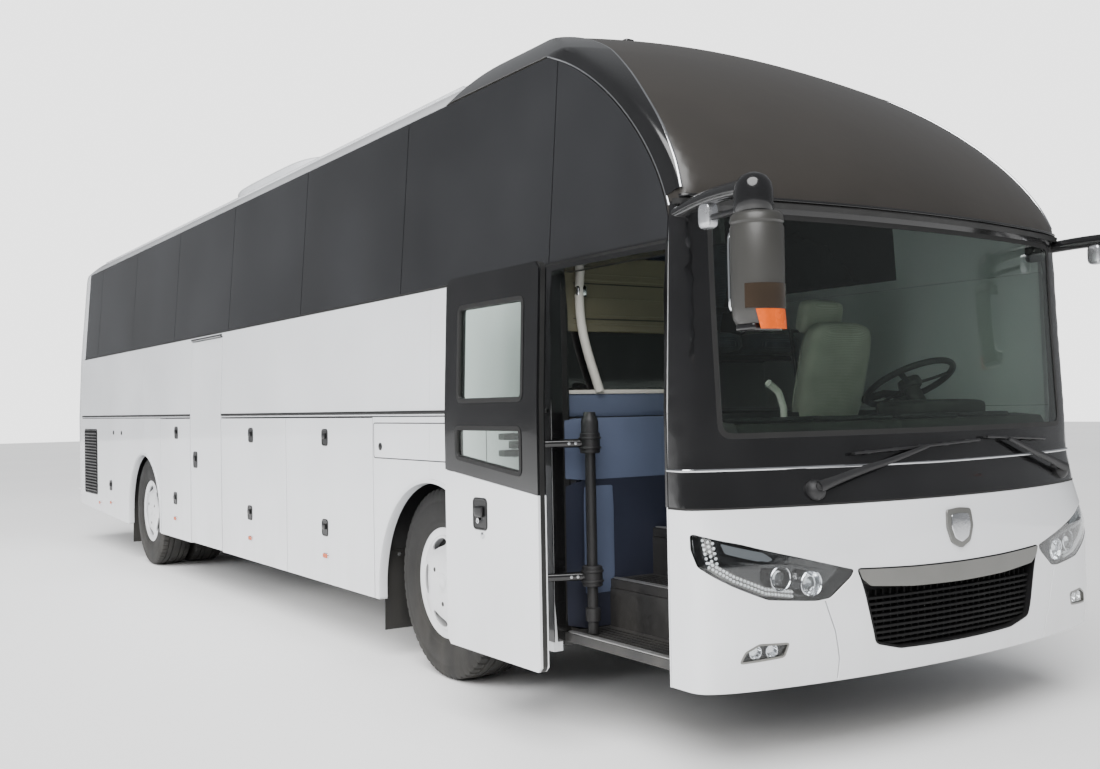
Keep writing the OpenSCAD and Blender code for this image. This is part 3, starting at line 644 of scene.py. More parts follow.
def finish(name, colour, rough, tone=(2.0, .05), vary=.06, film=0.0, film_height=1.2,
           grain=(300, .0003),
           weave=None, metal=0.0, **sockets):
    """A finish: toned colour, dust below a height, roughness that follows both, and a fine bump."""
    mat = bpy.data.materials.new(name)
    mat.use_nodes = True
    net = Net(mat.node_tree)
    shader = mat.node_tree.nodes["Principled BSDF"]
    toned = placed(net, TONE, Colour=(*colour, 1), Scale=tone[0], Amount=tone[1])
    out = toned.outputs["Colour"]
    rough_out = ranged(net, toned.outputs["Value"], .3, .7, max(rough - vary, .005),
                       min(rough + vary, 1))
    if film:
        f = placed(net, FILM, Colour=out, Height=film_height, Amount=film)
        out = f.outputs["Colour"]
        rough_out = math_node(net, "ADD", rough_out, math_node(net, "MULTIPLY", f.outputs["Mask"], .5))
    # the weave also paints shade into the dips between the threads and a highlight on their crossings
    if weave:
        w = placed(net, WEAVE_AND_SHADE, Colour=out, Scale=weave[0], Depth=weave[1])
        out = w.outputs["Colour"]
        net.link(w.outputs["Normal"], shader.inputs["Normal"])
    elif grain:
        g = placed(net, GRAIN, Scale=grain[0], Depth=grain[1])
        net.link(g.outputs["Normal"], shader.inputs["Normal"])
    net.link(out, shader.inputs["Base Color"])
    net.link(rough_out, shader.inputs["Roughness"])
    shader.inputs["Metallic"].default_value = metal
    for key, x in sockets.items():
        shader.inputs[key.replace("_", " ")].default_value = x
    return mat


def coat(weight, rough=.05):
    """Clear coat settings for a material."""
    return {"Coat_Weight": weight, "Coat_Roughness": rough}


WHITE = finish("pearl white paint", (.70, .715, .74), .34, (1.3, .03), .05, .22, 1.0, (1.1, .004),
               **coat(1, .06))
BLACK = finish("black gloss", (.006, .006, .0065), .16, (3, .2), .04, .03, 1.0, (1.6, .002),
               **coat(.35, .05))
SATIN = finish("dome satin", (.021, .0185, .016), .38, (1.1, .12), .05, 0, 1, (2.0, .003),
               **coat(.2, .25))
TINT = finish("tinted glass", (.016, .0165, .018), .045, (.8, .25), .015, 0, 1, (.9, .0025))
CHROME = finish("chrome", (.72, .73, .75), .14, (8, .05), .05, 0, 1, (60, .0002), metal=1)
SILVER = finish("satin silver", (.20, .20, .19), .36, (5, .06), .05, .12, 1, (90, .0002), metal=.75)
MESH = finish("grille black", (.004, .004, .0045), .7, (6, .2), .1, .02, .9, (250, .0004),
              Specular_IOR_Level=.2)
PLASTIC = finish("moulded black", (.011, .011, .012), .48, (5, .15), .08, .04, 1.2, (420, .0005))
RUBBER = finish("seal rubber", (.008, .008, .008), .62, (7, .2), .08, .06, 1.2, (300, .0004))
TYRE = finish("tyre rubber", (.010, .0098, .0095), .72, (6, .25), .1, .07, .9, (160, .0008))
RIM = finish("wheel enamel", (.72, .73, .75), .3, (6, .05), .06, .22, 1.0, (80, .0004), metal=.25,
             **coat(.5, .1))
HUB = finish("hub steel", (.55, .56, .58), .28, (9, .08), .08, .15, 1.0, (90, .0004), metal=.85)
CHASSIS = finish("chassis black", (.013, .013, .0135), .6, (3, .25), .1, .12, 1.0, (60, .0012))
IRON = finish("engine iron", (.12, .12, .125), .55, (4, .25), .12, .4, 1.5, (50, .0015), metal=.5)
VINYL = finish("floor vinyl", (.020, .020, .021), .5, (30, .16), .08, .12, .9, (220, .0006))
HOLD = finish("hold lining", (.32, .32, .32), .7, (8, .1), .08, .35, 1.2, (120, .0008))
DASH = finish("dash moulding", (.030, .031, .028), .55, (4, .12), .07, 0, 1, (260, .0009))
OLIVE = finish("olive trim", (.105, .10, .066), .45, (3, .08), .06, 0, 1, (200, .0004))
PALE = finish("pale trim", (.52, .51, .47), .5, (3, .06), .06, 0, 1, (200, .0004))
VIOLET = finish("violet laminate", (.085, .105, .165), .38, (2.5, .07), .05, 0, 1, (180, .0003),
                **coat(.25, .2))
CLOTH = finish("seat cloth", (.10, .115, .17), .85, (14, .18), .05, weave=(130, .0012), Sheen_Weight=.4)
COVER = finish("pale cover cloth", (.55, .55, .47), .88, (9, .08), .05, weave=(160, .0009),
               Sheen_Weight=.3)
PLATE = finish("tread aluminium", (.5, .5, .5), .38, (20, .1), .1, .35, .9, (90, .0015), metal=.85)
CLEAR = finish("clear glass", (.60, .69, .63), .01, (1, .02), .004, grain=(.8, .0006),
               Transmission_Weight=1, IOR=1.45)
LENS = finish("lamp lens", (.93, .95, .96), .015, (4, .02), .005, grain=(20, .0002),
              Transmission_Weight=1, IOR=1.4)
MIRROR = finish("mirror glass", (.75, .78, .80), .02, (3, .03), .01, grain=(2, .0001), metal=1)
AMBER = finish("amber lens", (.50, .072, .001), .25, (30, .12), .05, grain=(120, .0006))
RED = finish("red lens", (.55, .012, .012), .16, (30, .15), .05, grain=(120, .0006),
             Transmission_Weight=.1)
WHITE_LAMP = finish("white lamp", (.9, .91, .93), .2, (30, .05), .05, grain=(140, .0006),
                    Emission_Strength=.0)
LATCH = finish("latch black", (.009, .009, .0095), .35, (12, .2), .08, .05, 1.0, (200, .0004))

SHOWN = dict(
    chassis_frame=CHASSIS, cabin_floor=VINYL, luggage_hold=HOLD, left_side_panel=WHITE,
    right_side_panel=WHITE,
    side_windows=TINT, dashboard=DASH, luggage_racks=PALE, front_axle=CHASSIS, rear_axle=CHASSIS,
    engine_block=IRON, mudflaps=RUBBER, door_post=PLASTIC, steering_knuckle_left=CHASSIS,
    steering_knuckle_right=CHASSIS, middle_door=WHITE, luggage_door_right_front=WHITE,
    luggage_door_right_rear=WHITE, luggage_door_left_front=WHITE, luggage_door_left_rear=WHITE,
    service_door=WHITE, engine_lid=WHITE, roof_panel=WHITE, front_dome=SATIN, windshield=CLEAR,
    front_cowl=BLACK, front_panel=WHITE, grille=MESH, front_lamps=LENS, rear_panel=WHITE,
    rear_window=TINT,
    tail_lamps=RED, air_conditioner=WHITE, driver_seat=CLOTH, passenger_seats=CLOTH,
    driver_partition=VIOLET, wipers=PLASTIC, mirrors=PLASTIC, front_tyre_left=TYRE,
    front_tyre_right=TYRE,
    front_rim_left=RIM, front_rim_right=RIM, rear_tyres_left=TYRE, rear_tyres_right=TYRE,
    rear_rims_left=RIM, rear_rims_right=RIM, passenger_door=WHITE, passenger_door_glass=CLEAR)
for node_name, mat in SHOWN.items():
    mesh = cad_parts[node_name].data
    mesh.materials.clear()
    mesh.materials.append(mat)

ROOT = "coach_body"

# ---- Nose: bumper skin with its openings ----
LAMP = np.array([[.612, .797], [.628, .770], [.735, .694], [.800, .688], [1.020, .708], [1.168, .772],
                 [1.268, .840], [1.273, .905], [1.271, .972], [1.246, .961], [1.116, .928],
                 [.875, .864]])
FOG = np.array([[.930, .536], [1.060, .541], [1.116, .514], [1.136, .471], [.950, .483]])
GRILLE_EDGE = np.array([[-.600, .800], [-.578, .752], [-.560, .700], [-.505, .490], [-.365, .456],
                        [.365, .456],
                        [.505, .490], [.560, .700], [.578, .752], [.600, .800], [.3, .787], [0, .783],
                        [-.3, .787]])
SEAM = np.array([[.762, .684], [.716, .560], [.690, .450], [.688, .366],
                 [.683, .366], [.685, .450], [.711, .562], [.757, .684]])
side = {-1: np.array([-1, 1.0]), 1: np.array([1, 1.0])}


def nose_loop(yz, radius=.0, n=4):
    """Points (y, z) put on the front face, their corners rounded where a radius is given."""
    return front_curve(rounded(yz, radius, n) if radius else yz)


bottom, top = level(SKIRT_Z), level(1.061)
skin_edge = np.vstack([bottom, top[::-1]])
holes = [nose_loop(GRILLE_EDGE, .02)]
for s in (-1, 1):
    holes += [nose_loop(LAMP * side[s], .014), nose_loop(FOG * side[s], .012),
              nose_loop(SEAM * side[s])]
Piece("bumper_skin").sheet(NOSE, skin_edge, WHITE, holes, 0, .03, .035).done(
    ROOT, "white_paint", ["front_panel"], bevel=.004)

# ---- Lamps ----
lamps = Piece("head_lamps")
for s in (-1, 1):
    edge = nose_loop(LAMP * side[s], .014)
    lamps.sheet(NOSE, edge, BLACK, (), -.055, .006, .05)
    lamps.strip(NOSE, edge, [[-.002, -.003], [-.002, -.062], [.004, -.062], [.004, -.003]], BLACK, .03,
                True)
    lamps.sheet(NOSE, nose_loop(rounded(LAMP, .014) * side[s] * [.998, 1]), LENS, (), -.004, .004, .04)
    for y, z, r, mat in ((.815, .757, .050, CHROME), (.955, .786, .046, BLACK)):
        c, n = NOSE.on_skin(front_curve([[s * y, z]]))
        c, n = c[0] - n[0] * .028, n[0]
        n = np.array([1, n[1] * .4, 0]) / math.hypot(1, n[1] * .4)
        lamps.lathe([[0, -.02], [r * .72, -.02], [r, .012], [r * 1.02, .006], [r * .8, -.03],
                     [0, -.03]],
                    c, mat, n, 40)
        lamps.lathe([[r * .96, .004], [r * 1.10, .004], [r * 1.10, .012], [r * 1.02, .016],
                     [r * .96, .013]], c,
                    CHROME, n, 40)
        lamps.lathe([[0, -.012], [r * .62, -.012], [r * .55, .004], [r * .3, .012], [0, .014]], c, LENS,
                    n, 32)
    wing = np.array([[1.185, .936], [1.02, .893], [.985, .866], [1.005, .852], [1.175, .897]]) * side[s]
    lamps.sheet(NOSE, front_curve(rounded(wing, .008)), MIRROR, (), -.020, .010, .03)
    brow = front_curve(np.array([[1.19, .872], [1.05, .845], [.90, .832], [.74, .800]]) * side[s])
    lamps.strip(NOSE, brow, [[-.010, -.012], [-.012, -.050], [.006, -.050], [.004, -.012]], BLACK, .02)
    rows = [np.column_stack([np.full(6, y),
                             np.linspace(.948 + (y - 1.245) * .3, .862 + (y - 1.245) * .6, 6)])
            for y in (1.246, 1.229, 1.212)]
    for lift in (0, .017):
        rows.append(refine(np.array([[1.240, .842], [1.150, .787], [1.02, .731], [.905, .713]]) + [0,
                lift], .0165))
    for y, z in np.vstack(rows) * side[s]:
        c, n = NOSE.on_skin(front_curve([[y, z]]))
        lamps.lathe([[0, -.006], [.0062, -.006], [.0062, 0], [.0045, .0035], [0, .0045]],
                    c[0] - n[0] * .018, WHITE_LAMP,
                    n[0], 10)
    lamps.strip(NOSE, front_curve(np.array([[1.240, .850], [1.150, .795], [1.02, .739],
                                            [.905, .721]]) * side[s]),
                [[-.018, -.022], [-.018, -.030], [.018, -.030], [.018, -.022]], SILVER, .02)
    fog = nose_loop(FOG * side[s], .012)
    lamps.sheet(NOSE, fog, PLASTIC, (), -.04, .006, .04)
    lamps.strip(NOSE, fog, [[-.002, .001], [-.002, -.046], [.006, -.046], [.006, .001]], SILVER, .02,
                True)
    lamps.sheet(NOSE, fog, LENS, (), -.006, .004, .04)
    for y in (1.0, 1.07):
        c, n = NOSE.on_skin(front_curve([[s * y, .508]]))
        lamps.lathe([[0, -.03], [.022, -.03], [.027, -.008], [.024, -.008], [.018, -.026], [0, -.026]],
                    c[0] - n[0] * .004, CHROME, n[0], 28)
lamps.done(ROOT, "lamp", ["front_lamps"])

# ---- Grille with its silver bar ----
BAR = np.array([[-.596, .797], [-.578, .757], [-.535, .726], [-.3, .706], [0, .700], [.3, .706],
                [.535, .726],
                [.578, .757], [.596, .797], [.3, .784], [0, .780], [-.3, .784]])
grille = Piece("grille_and_bar")
edge = nose_loop(GRILLE_EDGE, .02)
grille.sheet(NOSE, edge, MESH, (), -.05, .008, .06)
grille.strip(NOSE, edge, [[-.002, .002], [-.002, -.058], [.006, -.058], [.006, .002]], MESH, .03, True)
grille.sheet(NOSE, front_curve(rounded(BAR, .01, 3)), SILVER, (), .006, .04, .03)
for z in np.arange(.478, .69, .024):
    half = np.interp(z, [.456, .49, .70], [.40, .500, .556]) - .01
    t = np.linspace(-half, half, 30)
    grille.strip(NOSE, front_curve(np.column_stack([t, np.full(30, z)])),
                 [[-.0045, -.016], [-.0045, -.042], [.0045, -.042], [.0045, -.016]], MESH, .05)
for y in np.arange(-.52, .53, .04):
    low = np.interp(abs(y), [.365, .505], [.458, .492])
    grille.strip(NOSE, front_curve([[y, low], [y, .70]]),
                 [[-.003, -.028], [-.003, -.044], [.003, -.044], [.003, -.028]], MESH, .08)
grille.done(ROOT, "grille_black", ["grille"], bevel=.0)

# a plain shield badge with no device on it
badge = Piece("front_badge")
shield = np.array([[-.078, 1.003], [-.086, .93], [-.06, .865], [0, .838], [.06, .865], [.086, .93],
                   [.078, 1.003],
                   [0, 1.01]])
badge.sheet(NOSE, front_curve(rounded(shield, .014)), SILVER, (), .010, .012, .02)
badge.sheet(NOSE, front_curve(rounded(shield * [.72, .72] + [0, .26], .012)), CHROME, (), .014, .008,
            .02)
badge.done(ROOT, "lamp", bevel=.002)

# ---- Black surround, windshield, chrome line ----
WS = rounded(rectangle(-1.13, 1.335, 1.13, 2.24), .06, 6)
surround = Piece("windshield_surround")
surround.sheet(NOSE, np.vstack([level(1.064), level(2.284)[::-1]]), BLACK,
               [front_curve(refine(WS, .05, True))],
               0, .03, .05)
surround.done(ROOT, "black_gloss", ["front_cowl"], bevel=.003)
glass = Piece("windshield_glass")
glass.sheet(NOSE, front_curve(refine(rounded(rectangle(-1.128, 1.337, 1.128, 2.238), .058, 6), .05,
                                     True)), CLEAR,
            (), -.003, .006, .06)
glass.done(ROOT, "clear_glass", ["windshield"])
trims = Piece("nose_mouldings")
trims.strip(NOSE, level(1.205, 1.212), half_round(.007, .006), CHROME, .05)
trims.strip(NOSE, level(1.0625, n=110), [[-.004, -.02], [-.004, .0015], [.004, .0015], [.004, -.02]],
            RUBBER, .05)
trims.strip(NOSE, front_curve(refine(rounded(rectangle(-1.122, 1.343, 1.122, 2.232), .055, 6), .04,
                                     True)),
            [[-.012, -.004], [-.012, .0005], [.012, .0005], [.012, -.004]], RUBBER, .04, True)
trims.done(ROOT, "black_gloss")

# ---- Dome: satin cap, glossy rim between two bright lines, rear wall, camera ----
DOME_EDGE = bezier([[FACE_X, 2.227], [NOSE_X - .49, 2.56], [NOSE_X - .93, 2.98],
                    [NOSE_X - 1.37, 3.131]], 24)


def dome_side(s, shift=0.0):
    """The line where the cap meets the side glass, shifted along X."""
    return side_curve(DOME_EDGE + [shift, 0], s)


def arch(x, crown, power, z_low=3.131, n=60, inset=0.0):
    """A cross-section's top: y = half width times share, z = crown - (crown - 3.125) share^power."""
    t = np.linspace(-1, 1, n)
    y = (SIDE_Y - .1 - inset) * t * ((crown - z_low) / (crown - 3.125)) ** (1 / power)
    z = crown - (crown - 3.125) * np.abs(y / (SIDE_Y - .1 - inset)) ** power - inset
    return np.column_stack([np.full(n, x), y, z])


lip = level(VISOR_Z - .004, n=120)
cap_edge = np.vstack([lip, dome_side(1), side_curve([[DOME_BACK + .01, 3.131]], 1),
                      arch(DOME_BACK + .001, DOME_Z, 2.6)[::-1],
                      side_curve([[DOME_BACK + .01, 3.131]], -1),
                      dome_side(-1)[::-1]])
dome = Piece("dome_cap")
dome.sheet(DOME, cap_edge, SATIN, (), 0, .03, .045)
low, high = arch(DOME_BACK, ROOF_Z - .03, 2.6, n=40), arch(DOME_BACK, DOME_Z, 2.6, n=40)
wall = np.stack([low, high, high + [.03, 0, 0], low + [.03, 0, 0]], 1)
dome.grid(wall, SATIN, wrap_v=True, caps=True)
dome.done(ROOT, "dome_black", ["front_dome"])

bright = Piece("dome_mouldings")
OUTER = np.array([[5.405, 1.205, 2.33], [5.375, 1.200, 2.43], [5.285, 1.185, 2.60], [5.14, 1.165, 2.80],
                  [4.93, 1.12, 3.03], [4.66, 1.04, 3.23], [4.30, .93, 3.37], [3.85, .84, 3.46],
                  [3.43, .79, 3.49]])
for s in (-1, 1):
    flip = np.array([1, s, 1])
    bright.strip(DOME, dome_side(s, .012)[1:] * 1, half_round(.006, .005), CHROME, .05)
    line = np.vstack([bezier(OUTER[[0, 1, 2, 3]], 10)[:1], OUTER[1:]]) * flip
    t = np.linspace(0, len(line) - 1, 60)
    line = np.column_stack([smooth(t, np.arange(len(line)), line[:, k]) for k in range(3)])
    bright.strip(DOME, line, half_round(.009, .007), CHROME, .05)
    inner = np.vstack([dome_side(s, .016)[2:], side_curve([[4.2, 3.134], [3.44, 3.134]], s)])
    bright.ribbon(DOME, inner if s < 0 else line, line if s < 0 else inner, BLACK, .006, .005)
bright.strip(DOME, level(VISOR_Z + .012, n=110)[4:-4], half_round(.008, .006), BLACK, .05)
bright.strip(NOSE, level(VISOR_Z - .010, n=110)[2:-2],
             [[-.012, -.01], [-.012, .018], [.010, .022], [.012, -.01]],
             RUBBER, .05)
bright.done(ROOT, "black_gloss")

beacon = Piece("roof_camera")
cx = FRONT_AXLE + .15
beacon.lathe([[0, 0], [.055, 0], [.058, .012], [.050, .020], [.048, .052], [.030, .066], [0, .068]],
             (cx, 0, 3.565), PLASTIC, (0, 0, 1), 40)
beacon.block((cx - .02, -.035, 3.60), (cx + .055, .035, 3.648), BLACK, 5)
beacon.lathe([[0, 0], [.016, 0], [.018, .012], [0, .020]], (cx + .045, 0, 3.622), LENS, (1, 0, 0), 24)
beacon.done(ROOT, "black_gloss")

# ---- Side glass band ----
PITCH = 1.55
panes = Piece("side_glass")
for s, form in ((-1, RIGHT), (1, LEFT)):
    for i in range(-2, 6):
        x1 = FRONT_AXLE - .38 - i * PITCH
        x0 = max(x1 - PITCH + .004, TAIL_X + .64)
        x1 -= .004
        if x0 >= x1:
            continue
        box = rectangle(x0, GLASS_LOW + .002, x1, GLASS_HIGH - .002)
        if x1 > DOME_EDGE[-1, 0] - .04:
            cut = DOME_EDGE + [-.006, 0]
            t = cut[(cut[:, 1] > GLASS_LOW) & (cut[:, 1] < GLASS_HIGH)]
            t = t[t[:, 0] > x0 + .001]
            right_side = t[t[:, 0] < x1] if x1 < t[:, 0].max() else t
            low_x = min(x1, t[0, 0])
            top_z = np.interp(x0, t[::-1, 0], t[::-1, 1]) if t[-1, 0] < x0 else GLASS_HIGH - .002
            pts = [[x0, GLASS_LOW + .002], [low_x, GLASS_LOW + .002]]
            if x1 < t[:, 0].max():
                pts.append([x1, np.interp(x1, t[::-1, 0], t[::-1, 1])])
            pts += right_side.tolist()
            pts.append([max(x0, t[-1, 0] if top_z > GLASS_HIGH - .01 else x0),
                        min(top_z, GLASS_HIGH - .002)])
            if t[-1, 0] > x0 and top_z > GLASS_HIGH - .01:
                pts.append([x0, GLASS_HIGH - .002])
            box = np.array(pts)
        panes.sheet(form, side_curve(box, s), TINT, (), 0, .008, .35)
panes.done(ROOT, "tinted_glass", ["side_windows"])

# ---- Roof skin ----
roof = Piece("roof_skin")
x = np.array([DOME_BACK - .002, 2.2, 1.0, -.2, -1.4, -2.6, -3.8, -4.9, REAR_X])
o = arch(0, ROOF_Z, 4.2, n=72)
skin = np.stack([o + [k, 0, 0] for k in x])
inner = skin * [1, .965, 1] - [0, 0, .04]
ring = np.concatenate([skin, inner[:, ::-1]], 1)
roof.grid(ring, WHITE, wrap_v=True, caps=True)
back_edge = np.vstack([side_curve([[REAR_X - .001, 3.131]], -1), arch(REAR_X - .001, ROOF_Z, 4.2)[1:-1],
                       side_curve([[REAR_X - .001, 3.131]], 1),
                       np.column_stack([tail_at(np.linspace(1, -1, 60) * half_width(3.131),
                                                3.131 * np.ones(60)),
                                        np.linspace(1, -1, 60) * half_width(3.131),
                                        3.131 * np.ones(60)])[1:-1]])
roof.sheet(TAIL, back_edge, WHITE, (), 0, .03, .07)
for y in (-1.0, 1.0):
    t = np.linspace(REAR_X + .1, DOME_BACK - .1, 30)
    z = ROOF_Z - (ROOF_Z - 3.125) * abs(y / (SIDE_Y - .1)) ** 4.2
    roof.tube(np.column_stack([t, np.full(30, y), np.full(30, z)]), .011, WHITE, 10)
roof.done(ROOT, "white_paint", ["roof_panel"])

hatches = Piece("roof_hatches_and_cooler")
low, high = BOX["air_conditioner"]
hatches.block((low.x, low.y, ROOF_Z - .05), (high.x, high.y, high.z), WHITE, 5, 64)
for s in (-1, 1):
    for x0 in (low.x + .3, low.x + .95, low.x + 1.6):
        hatches.lathe([[0, 0], [.20, 0], [.205, .012], [.19, .018], [.18, .006], [0, .006]],
                      (x0, s * .33, high.z - .012), PLASTIC, (0, 0, 1), 40)
        for k in range(5):
            hatches.lathe([[.03 + .034 * k, 0], [.034 + .034 * k, 0], [.034 + .034 * k, .006],
                           [.03 + .034 * k, .006]],
                          (x0, s * .33, high.z - .004), CHASSIS, (0, 0, 1), 36)
for x0 in (2.1, -3.4):
    hatches.block((x0 - .42, -.36, ROOF_Z - .03), (x0 + .42, .36, ROOF_Z + .055), PALE, 7, 48)
hatches.done(ROOT, "white_paint", ["air_conditioner"])

# ---- Long mouldings, seams and fittings of the sides ----
MID0, MID1 = BOX["middle_door"][0].x, BOX["middle_door"][1].x
mouldings = Piece("side_mouldings")
for s, form in ((-1, RIGHT), (1, LEFT)):
    runs = [(REAR_X + .02, FACE_X - .02)]
    if s < 0:
        runs = [(REAR_X + .02, MID0 - .02), (MID1 + .03, DOOR_X0 - .02)]
    for a, b in runs:
        mouldings.strip(form, side_curve([[a, WAIST_Z - .002], [b, WAIST_Z - .002]], s),
                        half_round(.010, .008), RUBBER, .6)
        mouldings.strip(form, side_curve([[a, WAIST_Z - .024], [b, WAIST_Z - .024]], s),
                        [[-.003, -.01], [-.003, .0008], [.003, .0008], [.003, -.01]], CHASSIS, .6)
    mouldings.strip(form, side_curve([[TAIL_X + .62, GLASS_LOW - .004],
                                      [FACE_X - .01, GLASS_LOW - .004]], s),
                    [[-.006, -.01], [-.006, .002], [.006, .002], [.006, -.01]], RUBBER, .6)
    for axle, r, top in ((FRONT_AXLE, .665, 1.077), (REAR_AXLE, .592, 1.077)):
        a = np.linspace(-.05, math.pi + .05, 60)
        arc = np.column_stack([axle + (r + .004) * np.cos(a), top - r + (r + .004) * np.sin(a)])
        arc = np.vstack([[[arc[0, 0], SKIRT_Z + .01]], arc, [[arc[-1, 0], SKIRT_Z + .01]]])
        mouldings.strip(form, side_curve(arc, s),
                        [[-.012, -.045], [-.012, .005], [.010, .007], [.014, -.004], [.014, -.045]],
                        WHITE, .05)
top = np.array([[MID0 + .01, 2.098], [MID1 - .01, 2.098]])
mouldings.strip(RIGHT, side_curve(top, -1), half_round(.012, .016), BLACK, .2)
mouldings.done(ROOT, "rubber")


def recess_latch(piece, form, s, x, z, w=.10, h=.12, mat=LATCH):
    """A recessed pull: dark plate with a rounded lip and a paddle across it."""
    o = side_curve(rounded(rectangle(x - w / 2, z - h / 2, x + w / 2, z + h / 2), .02, 4), s)
    piece.sheet(form, o, mat, (), .003, .006, .04)
    piece.strip(form, o, half_round(.006, .006), mat, .02, True)
    y = form.on_skin(side_curve([[x, z]], s))[0][0, 1] + s * .004
    piece.block((x - w * .32, min(y, y + s * .012), z - h * .10),
                (x + w * .32, max(y, y + s * .012), z + h * .26), mat, 5, 16)


def marker(piece, form, s, x, z, mat=AMBER, w=.07, h=.026):
    """A small lamp flush in the side, with a bright rim."""
    o = side_curve(rounded(rectangle(x - w / 2, z - h / 2, x + w / 2, z + h / 2), .008, 4), s)
    piece.sheet(form, o, mat, (), .010, .012, .03)
    piece.strip(form, o, half_round(.004, .007), CHROME, .02, True)


FITTINGS = {
    "luggage_door_right_front": [("latch", 1.874, 1.30), ("latch", 1.86, .715), ("mark", 1.87, .535)],
    "luggage_door_right_rear": [("latch", .437, 1.30), ("latch", .40, .715), ("mark", .41, .525)],
    "service_door": [("latch", -1.56, 1.30), ("latch", -1.61, .712), ("mark", -1.61, .53)],
    "luggage_door_left_front": [("latch", 1.874, 1.30), ("latch", 1.86, .715), ("mark", 1.87, .535)],
    "luggage_door_left_rear": [("latch", .437, 1.30), ("latch", .40, .715), ("mark", .41, .525)],
    "middle_door": [("latch", -.985, 1.075)],
}
for body, items in FITTINGS.items():
    s, form = (1, LEFT) if "left" in body else (-1, RIGHT)
    p = Piece(body + "_fittings")
    for kind, x, z in items:
        if kind == "latch":
            recess_latch(p, form, s, x, z, *((.10, .13) if body == "middle_door" else (.088, .10)))
        else:
            marker(p, form, s, x, z)
    p.done(body, "rubber")

side_bits = Piece("side_fittings")
for s, form in ((-1, RIGHT), (1, LEFT)):
    recess_latch(side_bits, form, s, -4.095, .712, .088, .10)
    marker(side_bits, form, s, -4.62, .496)
    marker(side_bits, form, s, -4.086, .527)
    # radiator grille in the rear corner
    x0, x1, z0, z1 = -5.372, -4.742, .585, 1.304
    o = side_curve(rounded(rectangle(x0, z0, x1, z1), .03, 4), s)
    side_bits.sheet(form, o, MESH, (), .001, .004, .2)
    side_bits.strip(form, o, half_round(.010, .006), PLASTIC, .1, True)
    for z in np.arange(z0 + .03, z1 - .01, .034):
        side_bits.strip(form, side_curve([[x0 + .015, z], [x1 - .015, z]], s),
                        [[-.009, -.002], [-.009, .004], [.006, .013], [.009, .010], [.009, -.002]],
                        PLASTIC, .3)
    # flap above the front wheel
    f = side_curve(rounded(rectangle(FRONT_AXLE - .715, 1.19, FRONT_AXLE + .62, 1.395), .02, 4), s)
    side_bits.strip(form, f, [[-.003, -.01], [-.003, .0007], [.003, .0007], [.003, -.01]], CHASSIS, .2,
                    True)
    p, n = form.on_skin(side_curve([[2.717, 1.257], [-3.6, 1.28], [-3.95, 1.28]], s))
    for c, k in zip(p, n):
        side_bits.lathe([[0, -.01], [.022, -.01], [.022, .004], [.016, .007], [0, .007]], c, LATCH, k,
                        28)
side_bits.done(ROOT, "rubber")

# ---- Passenger door: built closed on the flank, then carried to where it stands open ----
LEAF0, LEAF1, LEAF_LOW, LEAF_HIGH = 4.545, 5.355, .364, 2.088
SHIFT = (BOX["passenger_door"][0].x - LEAF0, BOX["passenger_door"][0].y + SIDE_Y, 0)
door = Piece("passenger_door_leaf")
SPLIT = [[LEAF0, 1.183], [LEAF1, 1.102]]
low_half = np.vstack([[[LEAF0 + .03, LEAF_LOW], [LEAF1 - .02, LEAF_LOW], [LEAF1, LEAF_LOW + .02]],
                      SPLIT[::-1], [[LEAF0, LEAF_LOW + .03]]])
high_half = np.vstack([np.array(SPLIT) + [0, .003], [[LEAF1, LEAF_HIGH - .03], [LEAF1 - .03, LEAF_HIGH],
                                                     [LEAF0 + .04, LEAF_HIGH], [LEAF0,
        LEAF_HIGH - .04]]])
PANE_HIGH = rounded(rectangle(4.672, 1.505, 5.238, 1.945), .035, 5)
PANE_LOW = rounded(np.array([[4.655, 1.243], [5.225, 1.182], [5.225, 1.384], [4.655, 1.384]]), .03, 5)
door.sheet(RIGHT, side_curve(low_half, -1), WHITE, (), 0, .042, .2)
door.sheet(RIGHT, side_curve(high_half, -1), BLACK,
           [side_curve(PANE_HIGH, -1), side_curve(PANE_LOW, -1)], 0, .042, .2)
for pane in (PANE_HIGH, PANE_LOW):
    door.strip(RIGHT, side_curve(pane, -1),
               [[-.008, -.03], [-.008, .003], [.010, .0035], [.014, -.004], [.014, -.03]],
               RUBBER, .06, True)
edge = rounded(rectangle(LEAF0 + .004, LEAF_LOW + .004, LEAF1 - .004, LEAF_HIGH - .004), .03, 4)
door.strip(RIGHT, side_curve(edge, -1), [[-.006, -.034], [-.006, -.012], [.006, -.010], [.006, -.034]],
           RUBBER, .3, True)
recess_latch(door, RIGHT, -1, 4.873, .995, .115, .135)
door.lathe([[0, -.012], [.012, -.012], [.012, .012], [.006, .012], [.006, .006], [0, .006]],
           (4.873, -1.279, .965),
           CHROME, (0, -1, 0), 24)
door.lathe([[0, -.01], [.014, -.01], [.014, .004], [0, .006]], (4.893, -1.276, .90), CHROME, (0, -1, 0),
           24)
door.shifted(SHIFT)
ey, ex = BOX["door_post"][0].y + .034, 4.5342
for z in (.690, 1.290):
    for z0, z1 in ((z - .036, z - .006), (z + .038, z + .068)):
        door.block((ex - .030, -1.535, z0), (ex + .030, ey + .02, z1), PLASTIC, 9, 24)
    door.lathe([[0, -.04], [.018, -.04], [.020, -.034], [.020, .066], [.015, .072], [0, .072]],
               (ex, ey, z), HUB,
               (0, 0, 1), 28)
door.tube(np.array([[4.72, -1.535, 1.02], [4.72, -1.49, 1.02], [4.72, -1.48, 1.04], [4.72, -1.48, 1.14],
                    [4.72, -1.49, 1.16], [4.72, -1.535, 1.16]]), .012, PLASTIC, 12, (1, 0, 0))
door.done("passenger_door", "white_paint", ["passenger_door"], bevel=.003)
door_glass = Piece("passenger_door_panes")
